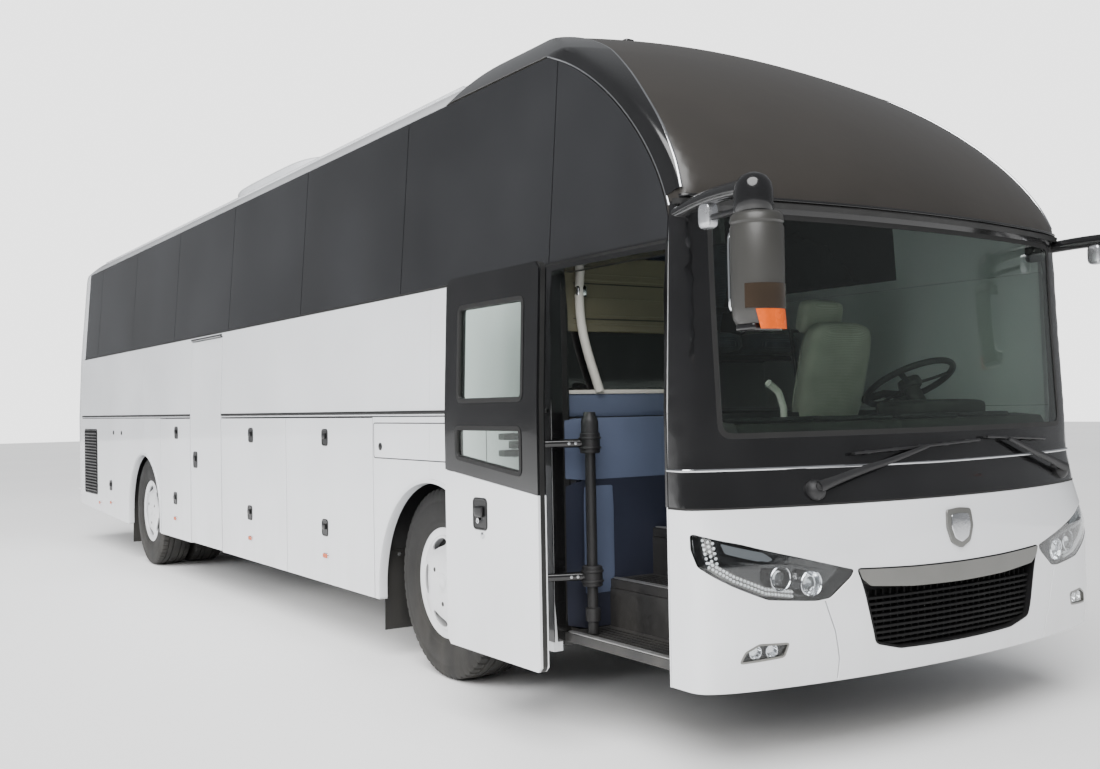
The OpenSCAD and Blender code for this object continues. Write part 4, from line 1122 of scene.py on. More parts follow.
for pane in (PANE_HIGH, PANE_LOW):
    door_glass.sheet(RIGHT, side_curve(pane, -1), CLEAR, (), -.008, .006, .2)
door_glass.shifted(SHIFT).done("passenger_door", "clear_glass", ["passenger_door_glass"])

# door mechanism: sleeves, clamps and bolts on the swinging post and arms
post = Piece("door_mechanism")
px, py = BOX["door_post"][1].x - .024, BOX["door_post"][1].y - .024
post.lathe([[0, .446], [.024, .446], [.024, .50], [.034, .505], [.034, .56], [.024, .565], [.024, 1.34],
            [.040, 1.345],
            [.040, 1.40], [.036, 1.415], [.030, 1.425], [.026, 1.446], [0, 1.446]], (px, py, 0),
            PLASTIC, (0, 0, 1), 40)
turn = math.radians(-114)
along = np.array([math.cos(turn), math.sin(turn), 0])
side_w = np.array([-math.sin(turn), math.cos(turn), 0])
for z in (.690, 1.290):
    for r, z0, z1 in ((.046, -.030, .062), (.052, -.012, .0), (.052, .032, .044)):
        post.lathe([[0, z0], [r - .004, z0], [r, z0 + .004], [r, z1 - .004], [r - .004, z1], [0, z1]],
                   (px, py, z),
                   PLASTIC, (0, 0, 1), 36)
    a = np.array([px, py, z + .016]) + along * .03
    b = np.array([px, py, z + .016]) + along * .318
    path = a + (b - a) * np.linspace(0, 1, 8)[:, None]
    post.tube(path, np.linspace(.021, .017, 8), BLACK, 16)
    post.lathe([[0, 0], [.034, 0], [.034, .032], [0, .032]], (ex, ey, z), PLASTIC, (0, 0, 1), 32)
    for k in (.07, .10):
        c = np.array([px, py, z + .016]) + along * k + side_w * .018
        post.lathe([[0, 0], [.007, 0], [.007, .006], [0, .007]], c, HUB, side_w, 6)
post.done("door_arms", "chassis_black", ["door_post"])

# ---- Doorway: jambs, header, sill, steps with nosings, laminated walls ----
DARK_WALL = finish("kick laminate", (.020, .023, .038), .4, (2.5, .1), .05, .05, .8, (180, .0003),
                   **coat(.15, .2))
entry = Piece("doorway_frame")
for x0, x1, z0, z1 in ((4.492, 4.5395, .42, 2.12), (5.3605, 5.372, .42, 2.12)):
    entry.block((x0, -1.210, z0), (x1, -1.150 if x0 > 5 else -1.175, z1), RUBBER, 14, 20)
entry.block((4.50, -1.206, 2.0955), (5.37, -1.12, 2.13), RUBBER, 16, 20)
entry.block((4.549, -1.206, .416), (5.351, -1.192, .4445), PLATE, 14, 20)
for i in range(3):
    y = -1.215 + .26 * i
    z = .440 + .22 * i
    entry.block((4.55, y + .002, z + .001), (5.30, y + .036, z + .007), PLATE, 10, 16)
    for k in range(5):
        entry.block((4.57, y + .06 + .034 * k, z + .0005), (5.28, y + .072 + .034 * k, z + .0035),
                    RUBBER, 10, 8)
entry.block((4.5355, -1.20, 1.13), (4.5415, -.476, 1.418), VIOLET, 30, 20)
entry.block((4.5355, -1.20, .445), (4.5408, -.476, 1.128), DARK_WALL, 30, 20)
entry.block((5.303, -1.20, .445), (5.3095, -.476, .815), DARK_WALL, 30, 20)
entry.block((4.536, -1.10, .60), (4.544, -.93, 1.10), VIOLET, 20, 16)
entry.tube(np.array([[5.24, -.50, .885], [5.24, -.50, 1.45], [5.24, -.53, 1.52], [5.25, -.60, 1.56]]),
           .016, PALE, 12,
           (1, 0, 0))
for x0, x1, z0, z1 in ((4.486, 4.5405, .40, 2.094), (5.3605, 5.3735, 1.066, 2.094),
                       (4.486, 5.3735, 2.094, 2.140)):
    entry.sheet(RIGHT, side_curve(rectangle(x0, z0, x1, z1), -1), BLACK, (), .0022, .004, .12)
entry.block((4.5352, -1.268, .40), (4.5385, -1.17, 2.096), BLACK, 30, 12)
entry.block((5.3618, -1.268, .40), (5.3648, -1.17, 2.096), BLACK, 30, 12)
entry.block((4.536, -1.266, 2.0945), (5.364, -1.17, 2.0975), BLACK, 30, 12)
entry.done(ROOT, "rubber")

wall = Piece("entrance_bulkhead")
low, high = BOX["driver_partition"]
wall.block((low.x, low.y, low.z), (high.x, high.y, 1.532), VIOLET, 30, 20)
wall.block((low.x - .006, low.y, 1.530), (high.x + .008, high.y, 1.550), PALE, 12, 24)
wall.block((low.x + .006, low.y + .01, 1.552), (high.x - .010, high.y - .01, 1.83), BLACK, 30, 20)
wall.block((low.x - .004, low.y, 1.826), (high.x, high.y, high.z + .01), OLIVE, 22, 24)
for z in (1.862, 1.905, 1.985, 2.07, 2.10):
    wall.block((high.x - .004, low.y + .04, z),
               (high.x + .004, high.y - .02, z + (.014 if z in (1.862, 2.07) else .006)),
               OLIVE, 10, 16)
for z in (1.884, 2.052):
    wall.block((high.x - .002, low.y + .05, z), (high.x + .0015, high.y - .03, z + .006), CHASSIS, 10,
               12)
rail = bezier([[high.x + .02, -1.06, 2.12], [high.x + .02, -1.09, 1.85], [high.x + .02, -1.03, 1.74],
               [high.x + .02, -.96, 1.545]], 24)
wall.tube(rail, .022, PALE, 14, (1, 0, 0))
wall.block((high.x, -1.09, 1.985), (high.x + .04, -1.03, 2.045), CHROME, 4, 20)
wall.done(ROOT, "partition_blue", ["driver_partition"])

# ---- Cab: dash top with four demister frames, binnacle, wheel ----
cab = Piece("dash_and_wheel")
low, high = BOX["dashboard"]
DASH_RIGHT, DASH_LEFT = -.99, 1.10


def dash_row(offset, z, n=50):
    """A row of the dash: even steps of y, a fixed distance behind the front face."""
    y = np.linspace(DASH_RIGHT, DASH_LEFT, n)
    x = front_at(y, np.full(n, z)) - offset
    return np.column_stack([x, y, np.full(n, z)])


rows_front = [dash_row(.085, 1.15), dash_row(.078, 1.36), dash_row(.095, 1.388),
              dash_row(.24, 1.400)]
ys = rows_front[0][:, 1]
depth = np.interp(ys, [-.99, -.2, .1, .55, 1.0, 1.1], [.30, .30, .40, .56, .50, .44])
shelf = np.column_stack([front_at(ys, np.full(50, 1.36)) - depth, ys, np.full(50, 1.392)])
brow = np.column_stack([front_at(ys, np.full(50, 1.36)) - depth - .02, ys, np.full(50, 1.36)])
under = np.column_stack([front_at(ys, np.full(50, 1.36)) - depth + .05, ys, np.full(50, 1.16)])
grid = np.stack([*rows_front, shelf, brow, under])
cab.grid(grid.transpose(1, 0, 2), DASH, wrap_v=True, caps=True)
for c in (-.78, -.33, .12, .57):
    y = np.array([c - .17, c - .185, c - .16, c + .16, c + .185, c + .17])
    off = np.array([.245, .13, .105, .105, .13, .245])
    x = front_at(y, np.full(6, 1.38)) - off
    path = np.column_stack([x, y, np.full(6, 1.402)])
    path = np.column_stack([smooth(np.linspace(0, 5, 40), np.arange(6), path[:, k]) for k in range(3)])
    cab.tube(path, .011, PLASTIC, 10)
    for k in np.linspace(c - .13, c + .13, 9):
        xk = float(front_at(k, 1.38)) - .19
        cab.block((xk, k - .005, 1.397), (xk + .05, k + .005, 1.408), CHASSIS, 6, 8)
hub = np.array([5.07, .55, 1.56])
tilt = math.radians(-28)
w = np.array([math.sin(tilt), 0, math.cos(tilt)])
u, v = np.array([0, 1.0, 0]), np.cross(w, [0, 1.0, 0])
a = np.linspace(0, 2 * math.pi, 72, endpoint=False)
b = np.linspace(0, 2 * math.pi, 14, endpoint=False)
ring = np.cos(a)[:, None] * u + np.sin(a)[:, None] * v
torus = hub + (.225 + .016 * np.cos(b))[None, :, None] * ring[:, None] + (.016 * np.sin(b))[None, :,
        None] * w
cab.grid(torus, PLASTIC, wrap_u=True, wrap_v=True)
cab.lathe([[0, -.03], [.052, -.03], [.062, -.012], [.055, .016], [.03, .022], [0, .024]], hub, DASH, w,
          40)
for t in (90, 210, 330):
    t = math.radians(t)
    r = math.cos(t) * u + math.sin(t) * v
    path = hub + r * np.linspace(.045, .222, 8)[:,
                                                None] - w * (.010 * np.cos(np.linspace(0, math.pi / 2,
            8)))[:, None]
    cab.tube(path, .015, PLASTIC, 10, tuple(w), .45)
column = np.array([hub - w * .02, hub - w * .16, [5.26, .55, 1.30], [5.29, .55, 1.14],
                   [5.37, .55, .90]])
cab.tube(column, np.array([.035, .045, .055, .05, .045]), DASH, 20, (0, 1, 0))
cab.block((5.02, .30, 1.385), (5.36, .82, 1.475), DASH, 5, 40)
cab.block((5.02, .34, 1.40), (5.055, .78, 1.455), BLACK, 5, 24)
cab.done(ROOT, "dash_grey", ["dashboard"])

# ---- Wipers ----
wipe = Piece("wiper_set")


def lifted(yz, lift):
    """A refined line on the front skin, moved out along the skin's normals."""
    p, n = NOSE.on_skin(front_curve(refine(yz, .05)))
    return p + n * np.broadcast_to(lift, len(p))[:, None]


for pivot, joint, ends in (((-.745, 1.118), (-.10, 1.272), [(-.52, 1.255), (.27, 1.288)]),
                           ((1.0, 1.12), (.50, 1.285), [(.86, 1.275), (.33, 1.300)])):
    p, n = NOSE.on_skin(front_curve([pivot]))
    wipe.lathe([[0, -.02], [.042, -.02], [.044, .012], [.036, .026], [.022, .036], [0, .038]], p[0],
               PLASTIC, n[0], 36)
    wipe.lathe([[0, .03], [.018, .03], [.016, .044], [0, .046]], p[0], CHASSIS, n[0], 24)
    arm = lifted([pivot, joint], .034)
    wipe.tube(arm, np.interp(np.linspace(0, 1, len(arm)), [0, .12, 1], [.026, .020, .009]), PLASTIC, 12,
              (1, 0, 0), .7)
    wipe.tube(lifted(ends, .026), .006, PLASTIC, 8, (1, 0, 0))
    wipe.tube(lifted(ends, .012), .0045, RUBBER, 8, (1, 0, 0), 1.8)
    for k in (.1, .3, .5, .7, .9):
        e = np.array(ends[0]) + (np.array(ends[1]) - np.array(ends[0])) * k
        q, m = NOSE.on_skin(front_curve([e]))
        wipe.block(q[0] + m[0] * .018 - [.010, .014, .008], q[0] + m[0] * .018 + [.010, .014, .008],
                   PLASTIC, 5, 12)
wipe.done(ROOT, "chassis_black", ["wipers"])

# ---- Mirrors: head with cap ring and amber lamp, cranked neck, arm and plate ----
BROWN = finish("smoked lens", (.022, .014, .008), .12, (9, .1), .04, .05, 1, (200, .0002),
               **coat(.8, .05))
GREY = finish("mirror grey", (.026, .0255, .0235), .42, (4, .1), .06, .05, 1, (300, .0004),
              **coat(.2, .2))
mirror_set = Piece("mirror_heads")
for s in (-1, 1):
    c = np.array([(BOX["mirrors"][1].x - .095), s * (BOX["mirrors"][1].y - .095), 0])
    t = np.linspace(0, 2 * math.pi, 48, endpoint=False)
    rows = []
    for z, r in ((1.742, .06), (1.748, .078), (1.765, .088), (1.80, .093), (1.95, .095), (2.085, .095),
                 (2.092, .0905),
                 (2.098, .0905), (2.104, .095), (2.125, .092), (2.138, .080), (2.143, .05)):
        rows.append(np.column_stack([np.maximum(r * np.cos(t), -.062), r * np.sin(t), np.full(48, z)])
                    + c)
    mirror_set.grid(np.array(rows), GREY, wrap_v=True, caps=True)
    mirror_set.block(c + [-.070, -.078, 1.79], c + [-.058, .078, 2.08], MIRROR, 9, 32)
    a = np.linspace(-1.25, 1.0, 24) * -s
    for z0, z1, mat, lift, lean in ((1.800, 1.885, BROWN, .0965, 0), (1.727, 1.796, AMBER, .0985, .30)):
        w = a if lean == 0 else a[4:-6]
        face = np.stack([np.column_stack([lift * np.cos(w - lean * s * (1.80 - z) * 8),
                                          lift * np.sin(w - lean * s * (1.80 - z) * 8),
                                          np.full(len(w), z)]) + c for z in (z0, (z0 + z1) / 2, z1)])
        rear = (face - c) * [.92, .92, 1] + c
        mirror_set.grid(np.concatenate([face, rear[::-1]]).transpose(1, 0, 2), mat, wrap_v=True,
                        caps=True)
    mirror_set.block(c + [-.050, -.075, 1.722], c + [.055, .075, 1.750], BLACK, 6, 28)
    mirror_set.lathe([[0, 2.128], [.062, 2.128], [.070, 2.140], [.070, 2.215], [.064, 2.245],
                      [.048, 2.268],
                      [.024, 2.281], [0, 2.284]], c + [-.012, 0, 0], BLACK, (0, 0, 1), 40)
    root = np.array([5.352, s * 1.205, 2.232])
    neck = c + [-.02, 0, 2.235]
    t = np.linspace(0, 1, 14)[:, None]
    arm = neck + (root - neck) * t + np.array([0, 0, .018]) * np.sin(math.pi * t)
    mirror_set.tube(arm, np.linspace(.034, .028, 14), BLACK, 16)
    mid = neck + (root - neck) * .52
    mirror_set.block(mid + [-.035, -.03, -.10], mid + [.035, .03, .0], HUB, 4, 20)
    mirror_set.block(root - [.05, .025, .06], root + [.06, .025, .05], PLASTIC, 4, 24)
    mirror_set.tube(np.array([c + [-.02, 0, 2.14], c + [-.09, -s * .03, 2.17], mid + [0, 0, -.06]]),
                    .012, PLASTIC, 10)
mirror_set.done(ROOT, "mirror_grey", ["mirrors"])

# ---- Wheels ----
def tyre(piece, cx, y0, y1):
    """A tyre turned about Y: half profile (share of width, radius) mirrored; every fifth step of
    the turn the
    shoulder ribs sink 9 mm, which cuts 60 slots."""
    half = np.array([[.115, .288], [.05, .300], [.018, .322], [.008, .336], [.012, .342], [.002, .352],
                     [0, .400],
                     [.004, .440], [.010, .446], [.006, .454], [.022, .484], [.036, .500], [.052, .511],
                     [.075, .5155], [.195, .5185], [.208, .508], [.228, .508], [.240, .5195],
                     [.350, .5208],
                     [.364, .510], [.384, .510], [.398, .5212], [.5, .522]])
    prof = np.vstack([half, (half[:-1] * [-1, 1] + [1, 0])[::-1],
                      [[.86, .296], [.5, .302], [.14, .296]]])
    n = 300
    t = np.linspace(0, 2 * math.pi, n, endpoint=False)[:, None]
    shoulder = ((prof[:, 0] < .2) | (prof[:, 0] > .8)) & (prof[:, 1] > .498)
    r = prof[None, :, 1] - .009 * shoulder[None] * (np.arange(n) % 5 == 0)[:, None]
    y = np.broadcast_to(y0 + (y1 - y0) * prof[None, :, 0], r.shape)
    p = np.stack([cx + r * np.sin(t), y, TYRE_R + r * np.cos(t)], 2)
    return piece.grid(p, TYRE, wrap_u=True, wrap_v=True)


def cover(piece, cx, s, rim_y, bulge, holes=5):
    """A domed cover: y = rim + bulge (1 - (r/R)^2)^0.7, in equal sectors, each a ring of rays from
    the sector's
    border to a crescent hole with |dr/a|^2.4 + |dt/b|^2.4 = 1, and back along the inner side."""
    big, small = .277, .045
    phi = np.linspace(0, 2 * math.pi, 48, endpoint=False)
    c, q = np.cos(phi), np.sin(phi)
    k = (np.abs(c) ** 2.4 + np.abs(q) ** 2.4) ** (-1 / 2.4)
    m = np.maximum(np.abs(c), np.abs(q))
    half = math.pi / holes
    hole_r, hole_t = .222 + .024 * k * c, .60 * half * k * q
    edge_c, edge_q = c / m, q / m
    border_r = np.where(edge_c > 0, .222 + (big - .222) * edge_c, .222 + (.222 - small) * edge_c)
    border_t = half * edge_q
    steps = np.r_[0, .25, .5, .72, .88, 1.0]
    for i in range(holes):
        rows = []
        for t, deep in [(t, 0) for t in steps] + [(1.0, .012)] + [(t, .014) for t in steps[::-1]]:
            r = border_r + (hole_r - border_r) * t
            a = border_t + (hole_t - border_t) * t + 2 * half * (i + .25)
            lip = -.004 * math.exp(-((t - 1) / .12) ** 2) if deep == 0 else 0
            y = rim_y + bulge * np.maximum(0, 1 - (r / big) ** 2) ** .7 - deep + lip
            rows.append(np.column_stack([cx + s * r * np.sin(a), s * y, TYRE_R + r * np.cos(a)]))
        piece.grid(np.array(rows).transpose(1, 0, 2), RIM, wrap_u=True, wrap_v=True)
    top = rim_y + bulge
    piece.lathe([[0, -.02], [.052, -.02], [.056, -.004], [.050, .001], [.040, .0015], [.034, -.002],
                 [0, -.001]],
                (cx, s * top, TYRE_R), RIM, (0, s, 0), 48)
    for a in (1.1, 3.2, 5.3):
        r = .115
        y = rim_y + bulge * (1 - (r / big) ** 2) ** .7
        piece.lathe([[0, -.004], [.011, -.004], [.013, .0005], [.010, .002], [0, .0005]],
                    (cx + r * math.sin(a), s * y, TYRE_R + r * math.cos(a)), CHASSIS, (0, s, 0), 16)


def barrel(piece, cx, s, inner, outer):
    """The steel rim: rolled flanges, bead seats and a drop well, with its disc and hub behind the
    cover."""
    o, i = outer, inner
    prof = [[.252, o - .012], [.290, o - .004], [.301, o - .006], [.303, o - .012], [.296, o - .018],
            [.286, o - .022],
            [.282, o - .06], [.262, o - .09], [.262, i + .09], [.282, i + .06], [.286, i + .02],
            [.300, i + .012],
            [.296, i + .004], [.272, i + .012], [.255, i + .08], [.250, o - .10]]
    piece.lathe([[r, h] for r, h in prof], (cx, 0, TYRE_R), RIM, (0, s, 0), 96)
    piece.lathe([[0, o - .068], [.256, o - .068], [.256, o - .060], [.16, o - .054], [0, o - .054]],
                (cx, 0, TYRE_R), CHASSIS, (0, s, 0), 64)


for s, side_name in ((1, "left"), (-1, "right")):
    low, high = BOX[f"front_tyre_{side_name}"]
    outer, inner = max(abs(low.y), abs(high.y)), min(abs(low.y), abs(high.y))
    rubber_ring = Piece(f"front_tyre_tread_{side_name}")
    tyre(rubber_ring, FRONT_AXLE, s * inner, s * outer) if s > 0 else tyre(rubber_ring, FRONT_AXLE,
            low.y, high.y)
    rubber_ring.done(f"front_wheel_{side_name}", "tyre", [f"front_tyre_{side_name}"], angle=30)
    wheel = Piece(f"front_wheel_disc_{side_name}")
    barrel(wheel, FRONT_AXLE, s, BOX[f"front_rim_{side_name}"][0].y if s > 0 else
           -BOX[f"front_rim_{side_name}"][1].y,
           1.196)
    cover(wheel, FRONT_AXLE, s, 1.180, .030)
    wheel.done(f"front_wheel_{side_name}", "rim_silver", [f"front_rim_{side_name}"], angle=34)
    low, high = BOX[f"rear_tyres_{side_name}"]
    outer, inner = max(abs(low.y), abs(high.y)), min(abs(low.y), abs(high.y))
    wide = (outer - inner - .040) / 2
    pair = Piece(f"rear_tyre_treads_{side_name}")
    for a in (inner, outer - wide):
        tyre(pair, REAR_AXLE, min(s * a, s * (a + wide)), max(s * a, s * (a + wide)))
    pair.done(f"rear_wheels_{side_name}", "tyre", [f"rear_tyres_{side_name}"], angle=30)
    discs = Piece(f"rear_wheel_discs_{side_name}")
    barrel(discs, REAR_AXLE, s, inner + .03, inner + wide - .01)
    barrel(discs, REAR_AXLE, s, outer - wide + .02, outer - .016)
    cover(discs, REAR_AXLE, s, outer - .040, .026)
    discs.done(f"rear_wheels_{side_name}", "rim_silver", [f"rear_rims_{side_name}"], angle=34)

# ---- Tail: skin, window, lamps, lid with louvres, bumper ----
def tail_curve(yz):
    """Points (y, z) put on the tail."""
    yz = np.asarray(yz, float)
    return np.column_stack([tail_at(yz[:, 0], yz[:, 1]), yz])


def tail_level(z, n=70, share=1.0):
    """A level line round the tail, its points closer together towards the corners."""
    t = np.linspace(-1, 1, n)
    y = np.sign(t) * (1 - (1 - np.abs(t)) ** 2.2) * share
    return tail_curve(np.column_stack([y * half_width(np.full(n, z)), np.full(n, z)]))


REAR_GLASS = rounded(rectangle(-.985, 2.075, .985, 2.965), .12, 6)
LID = rounded(rectangle(-.892, .628, .892, 1.552), .03, 4)
LIGHT = rounded(rectangle(.983, .898, 1.132, 1.702), .05, 5)
LEFT_LIGHT = (LIGHT * [-1, 1])[::-1]
skin = Piece("tail_skin")
top_z = ROOF_Z - .012
base = tail_level(.445)
sides = np.linspace(.5, 3.10, 24)
edge_r = np.column_stack([np.full(24, REAR_X), half_width(sides) - .0005, sides])
crown_y = np.linspace(1, -1, 50) * (SIDE_Y - .105)
crown = np.column_stack([np.full(50, REAR_X), crown_y,
                         ROOF_Z - .012 - (ROOF_Z - 3.125) * np.abs(crown_y / (SIDE_Y - .1)) ** 4.2])
outline = np.vstack([base, edge_r, crown, (edge_r * [1, -1, 1])[::-1]])
skin.sheet(TAIL, outline, WHITE, [tail_curve(o) for o in (REAR_GLASS, LID, LIGHT, LEFT_LIGHT)], 0, .03,
           .05)
SEAL = .012
skin.strip(TAIL, tail_curve(REAR_GLASS),
           [[-SEAL, -.01], [-SEAL, .004], [SEAL, .006], [SEAL + .003, -.01]],
           RUBBER, .04, True)
for z in (1.78, 2.02):
    skin.strip(TAIL, tail_curve(np.column_stack([np.linspace(-1.13, 1.13, 40), np.full(40, z)])),
               half_round(.009, .007),
               WHITE if z > 1.9 else RUBBER, .06)
for s in (-1, 1):
    corner = np.column_stack([np.full(20, s * 1.155), np.linspace(.62, 1.76, 20)])
    skin.strip(TAIL, tail_curve(corner), [[-.003, -.01], [-.003, .0015], [.003, .0015], [.003, -.01]],
               RUBBER, .05)
bumper = tail_level(.60, 60, .985)
skin.strip(TAIL, bumper, [[-.012, -.01], [-.010, .010], [0, .014], [.010, .010], [.012, -.01]], WHITE,
           .06)
skin.done(ROOT, "white_paint", ["rear_panel"])
glass = Piece("rear_glass")
glass.sheet(TAIL, tail_curve(rounded(rectangle(-.970, 2.090, .970, 2.950), .11, 6)), TINT, (), -.002,
            .010, .06)
glass.done(ROOT, "tinted_glass", ["rear_window"])

lights = Piece("tail_lamp_clusters")
for s in (-1, 1):
    shape = LIGHT if s > 0 else LEFT_LIGHT
    inner_shape = rounded(rectangle(.991, .906, 1.124, 1.694), .045, 5) * [s, 1]
    lights.sheet(TAIL, tail_curve(inner_shape if s > 0 else inner_shape[::-1]), CHASSIS, (), -.020,
                 .012, .05)
    lights.strip(TAIL, tail_curve(shape),
                 [[-.007, -.02], [-.007, .006], [.001, .008], [.007, .002], [.007, -.02]],
                 CHROME, .03, True)
    for z, mat, rad in ((1.60, AMBER, .056), (1.46, RED, .056), (1.32, RED, .056),
                        (1.18, WHITE_LAMP, .052),
                        (1.05, RED, .052)):
        p, n = TAIL.on_skin(tail_curve([[s * 1.0575, z]]))
        lights.lathe([[0, -.02], [rad, -.02], [rad, .003], [rad - .006, .010], [.6 * rad, .014],
                      [0, .016]], p[0], mat,
                     n[0], 40)
        lights.lathe([[rad, -.02], [rad + .005, -.02], [rad + .006, .006], [rad + .001, .008]], p[0],
                     CHROME, n[0], 40)
        for k in range(3):
            lights.lathe([[rad * (.25 + .22 * k), .010], [rad * (.28 + .22 * k), .010],
                          [rad * (.28 + .22 * k), .0165 - .0012 * k],
                          [rad * (.25 + .22 * k), .0165 - .0012 * k]], p[0], mat, n[0], 32)
    p, n = TAIL.on_skin(tail_curve([[s * .90, .52]]))
    lights.lathe([[0, -.01], [.030, -.01], [.034, .004], [.028, .010], [0, .012]], p[0], RED, n[0], 32)
    p, n = TAIL.on_skin(tail_curve([[s * .82, 3.07]]))
    lights.lathe([[0, -.01], [.024, -.01], [.026, .008], [0, .014]], p[0], RED, n[0], 28)
p, n = TAIL.on_skin(tail_curve([[0, 3.03]]))
lights.block(p[0] - [.012, .16, .014], p[0] + [.02, .16, .014], RED, 8, 30)
lights.done(ROOT, "tail_lamp", ["tail_lamps"])

lid = Piece("engine_lid_skin")
SLOTS = rounded(rectangle(-.70, .70, .70, 1.16), .03, 4)
PLATE_SPACE = rounded(rectangle(-.30, 1.245, .30, 1.415), .02, 4)
lid.sheet(TAIL, tail_curve(rounded(rectangle(-.886, .634, .886, 1.546), .028, 4)), WHITE,
          [tail_curve(SLOTS), tail_curve(PLATE_SPACE)], 0, .022, .05)
lid.strip(TAIL, tail_curve(SLOTS),
          [[-.010, -.02], [-.008, .004], [.004, .006], [.010, -.004], [.010, -.02]], WHITE,
          .05, True)
lid.sheet(TAIL, tail_curve(SLOTS), CHASSIS, (), -.030, .004, .08)
for z in np.linspace(.725, 1.135, 12):
    row = tail_curve(np.column_stack([np.linspace(-.692, .692, 12), np.full(12, z)]))
    lid.strip(TAIL, row, [[-.013, -.026], [-.013, -.023], [.011, .001], [.013, -.001], [-.009, -.026]],
              WHITE, .13)
lid.sheet(TAIL, tail_curve(PLATE_SPACE), WHITE, (), -.014, .004, .08)
lid.strip(TAIL, tail_curve(PLATE_SPACE), [[-.006, -.018], [-.006, .002], [.004, .003], [.006, -.018]],
          WHITE, .05, True)
lid.sheet(TAIL, tail_curve(rounded(rectangle(-.26, 1.262, .26, 1.395), .012, 3)), PLATE, (), -.004,
          .006, .1)
for y in (-.34, .34):
    p, n = TAIL.on_skin(tail_curve([[y, 1.44]]))
    lid.block(p[0] - [.012, .05, .012], p[0] + [.016, .05, .012], PLASTIC, 6, 20)
p, n = TAIL.on_skin(tail_curve([[0, .675]]))
lid.block(p[0] - [.010, .07, .018], p[0] + [.02, .07, .018], PLASTIC, 6, 24)
lid.done("engine_lid", "white_paint", ["engine_lid"])

# ---- Mudflaps ----
flaps = Piece("mudflap_sheets")
low, high = BOX["mudflaps"]
for x, y0, y1, z0 in ((high.x - .018, .86, 1.235, low.z), (low.x, .60, 1.235, low.z)):
    for s in (-1, 1):
        v = np.linspace(0, 1, 14)
        u = np.linspace(0, 1, 10)
        uu, vv = np.meshgrid(u, v, indexing="ij")
        bend = .006 * np.sin(vv * math.pi) + .003 * np.sin(uu * 5)
        face = np.stack([x + .006 + bend, s * (y0 + (y1 - y0) * uu), z0 + (high.z - z0) * vv], 2)
        back = face + [.007, 0, 0]
        flaps.grid(np.concatenate([face, back[:, ::-1]], 1), RUBBER, wrap_v=True, caps=True)
        for k in (.25, .5, .75):
            flaps.lathe([[0, -.006], [.012, -.006], [.012, .014], [0, .016]],
                        (x + .006, s * (y0 + (y1 - y0) * k), high.z - .03), HUB, (1, 0, 0), 6)
flaps.done(ROOT, "rubber", ["mudflaps"])

# ---- Seats: pads blown up as cloth, held down along their sewn channels ----
def pad_grid(half, n, power=5.0):
    """A box of n quads a side pulled onto |x/a|^k + |y/b|^k + |z/c|^k = 1, its faces turned
    outwards."""
    half = np.array(half, float)
    quads, pts = [], []
    for axis in range(3):
        a, b = (axis + 1) % 3, (axis + 2) % 3
        for s in (-1, 1):
            u, v = np.meshgrid(np.linspace(-1, 1, n[a] + 1), np.linspace(-1, 1, n[b] + 1),
                               indexing="ij")
            p = np.empty(u.shape + (3,))
            p[..., a], p[..., b], p[..., axis] = u, v, s
            base = sum(len(x) for x in pts)
            i = base + np.arange(u.size).reshape(u.shape)
            q = np.stack([i[:-1, :-1], i[1:, :-1], i[1:, 1:], i[:-1, 1:]], 2).reshape(-1, 4)
            quads.append(q if s > 0 else q[:, ::-1])
            pts.append(p.reshape(-1, 3))
    flat = np.vstack(pts)
    _, first, back = np.unique(np.round(flat, 6), axis=0, return_index=True, return_inverse=True)
    unit = flat[first]
    reach = (np.abs(unit) ** power).sum(1) ** (1 / power)
    return unit, unit / reach[:, None] * half, back.reshape(-1)[np.vstack(quads)]


def blown(half, n, channels, sink=.008, cap=.014, pressure=4.0):
    """The pad after 20 frames of cloth under pressure with no gravity; its seams and its back stay
    where they
    are, and no point moves further than cap."""
    unit, v, f = pad_grid(half, n)
    held = unit[:, 2] < -.4
    for axis, at in channels:
        near = (np.abs(unit[:, axis] - at) < 1.02 / n[axis]) & (unit[:, 2] > .7)
        v[near, 2] -= sink
        held |= near
    held |= (np.abs(unit[:, 2]) < .9) & (np.maximum(np.abs(unit[:, 0]),
                                                    np.abs(unit[:, 1])) > .99) & (unit[:, 2] < .2)
    mesh = bpy.data.meshes.new("pad")
    mesh.from_pydata(v.tolist(), [], f.tolist())
    o = bpy.data.objects.new("pad", mesh)
    bpy.context.scene.collection.objects.link(o)
    group = o.vertex_groups.new(name="held")
    group.add(np.flatnonzero(held).tolist(), 1.0, "REPLACE")
    cloth = o.modifiers.new("cloth", "CLOTH")
    c = cloth.settings
    c.use_pressure, c.uniform_pressure_force = True, pressure
    c.effector_weights.gravity = 0
    c.vertex_group_mass = "held"
    c.quality, c.mass, c.bending_stiffness = 5, .35, 1.2
    c.tension_stiffness = c.compression_stiffness = 12
    cloth.point_cache.frame_start, cloth.point_cache.frame_end = 1, 20
    for frame_no in range(1, 21):
        bpy.context.scene.frame_set(frame_no)
    done = o.evaluated_get(bpy.context.evaluated_depsgraph_get()).to_mesh()
    moved = np.empty(len(v) * 3)
    done.vertices.foreach_get("co", moved)
    bpy.data.objects.remove(o)
    bpy.context.scene.frame_set(1)
    d = moved.reshape(-1, 3) - v
    size = np.linalg.norm(d, axis=1)[:, None]
    return v + d * np.minimum(1, cap / np.maximum(size, 1e-9)), f


def tipped(v, tilt, place):
    """Turned about Y by tilt and carried to place."""
    c, s = math.cos(tilt), math.sin(tilt)
    return np.column_stack([v[:, 0] * c + v[:, 2] * s, v[:, 1], -v[:, 0] * s + v[:, 2] * c]) + place


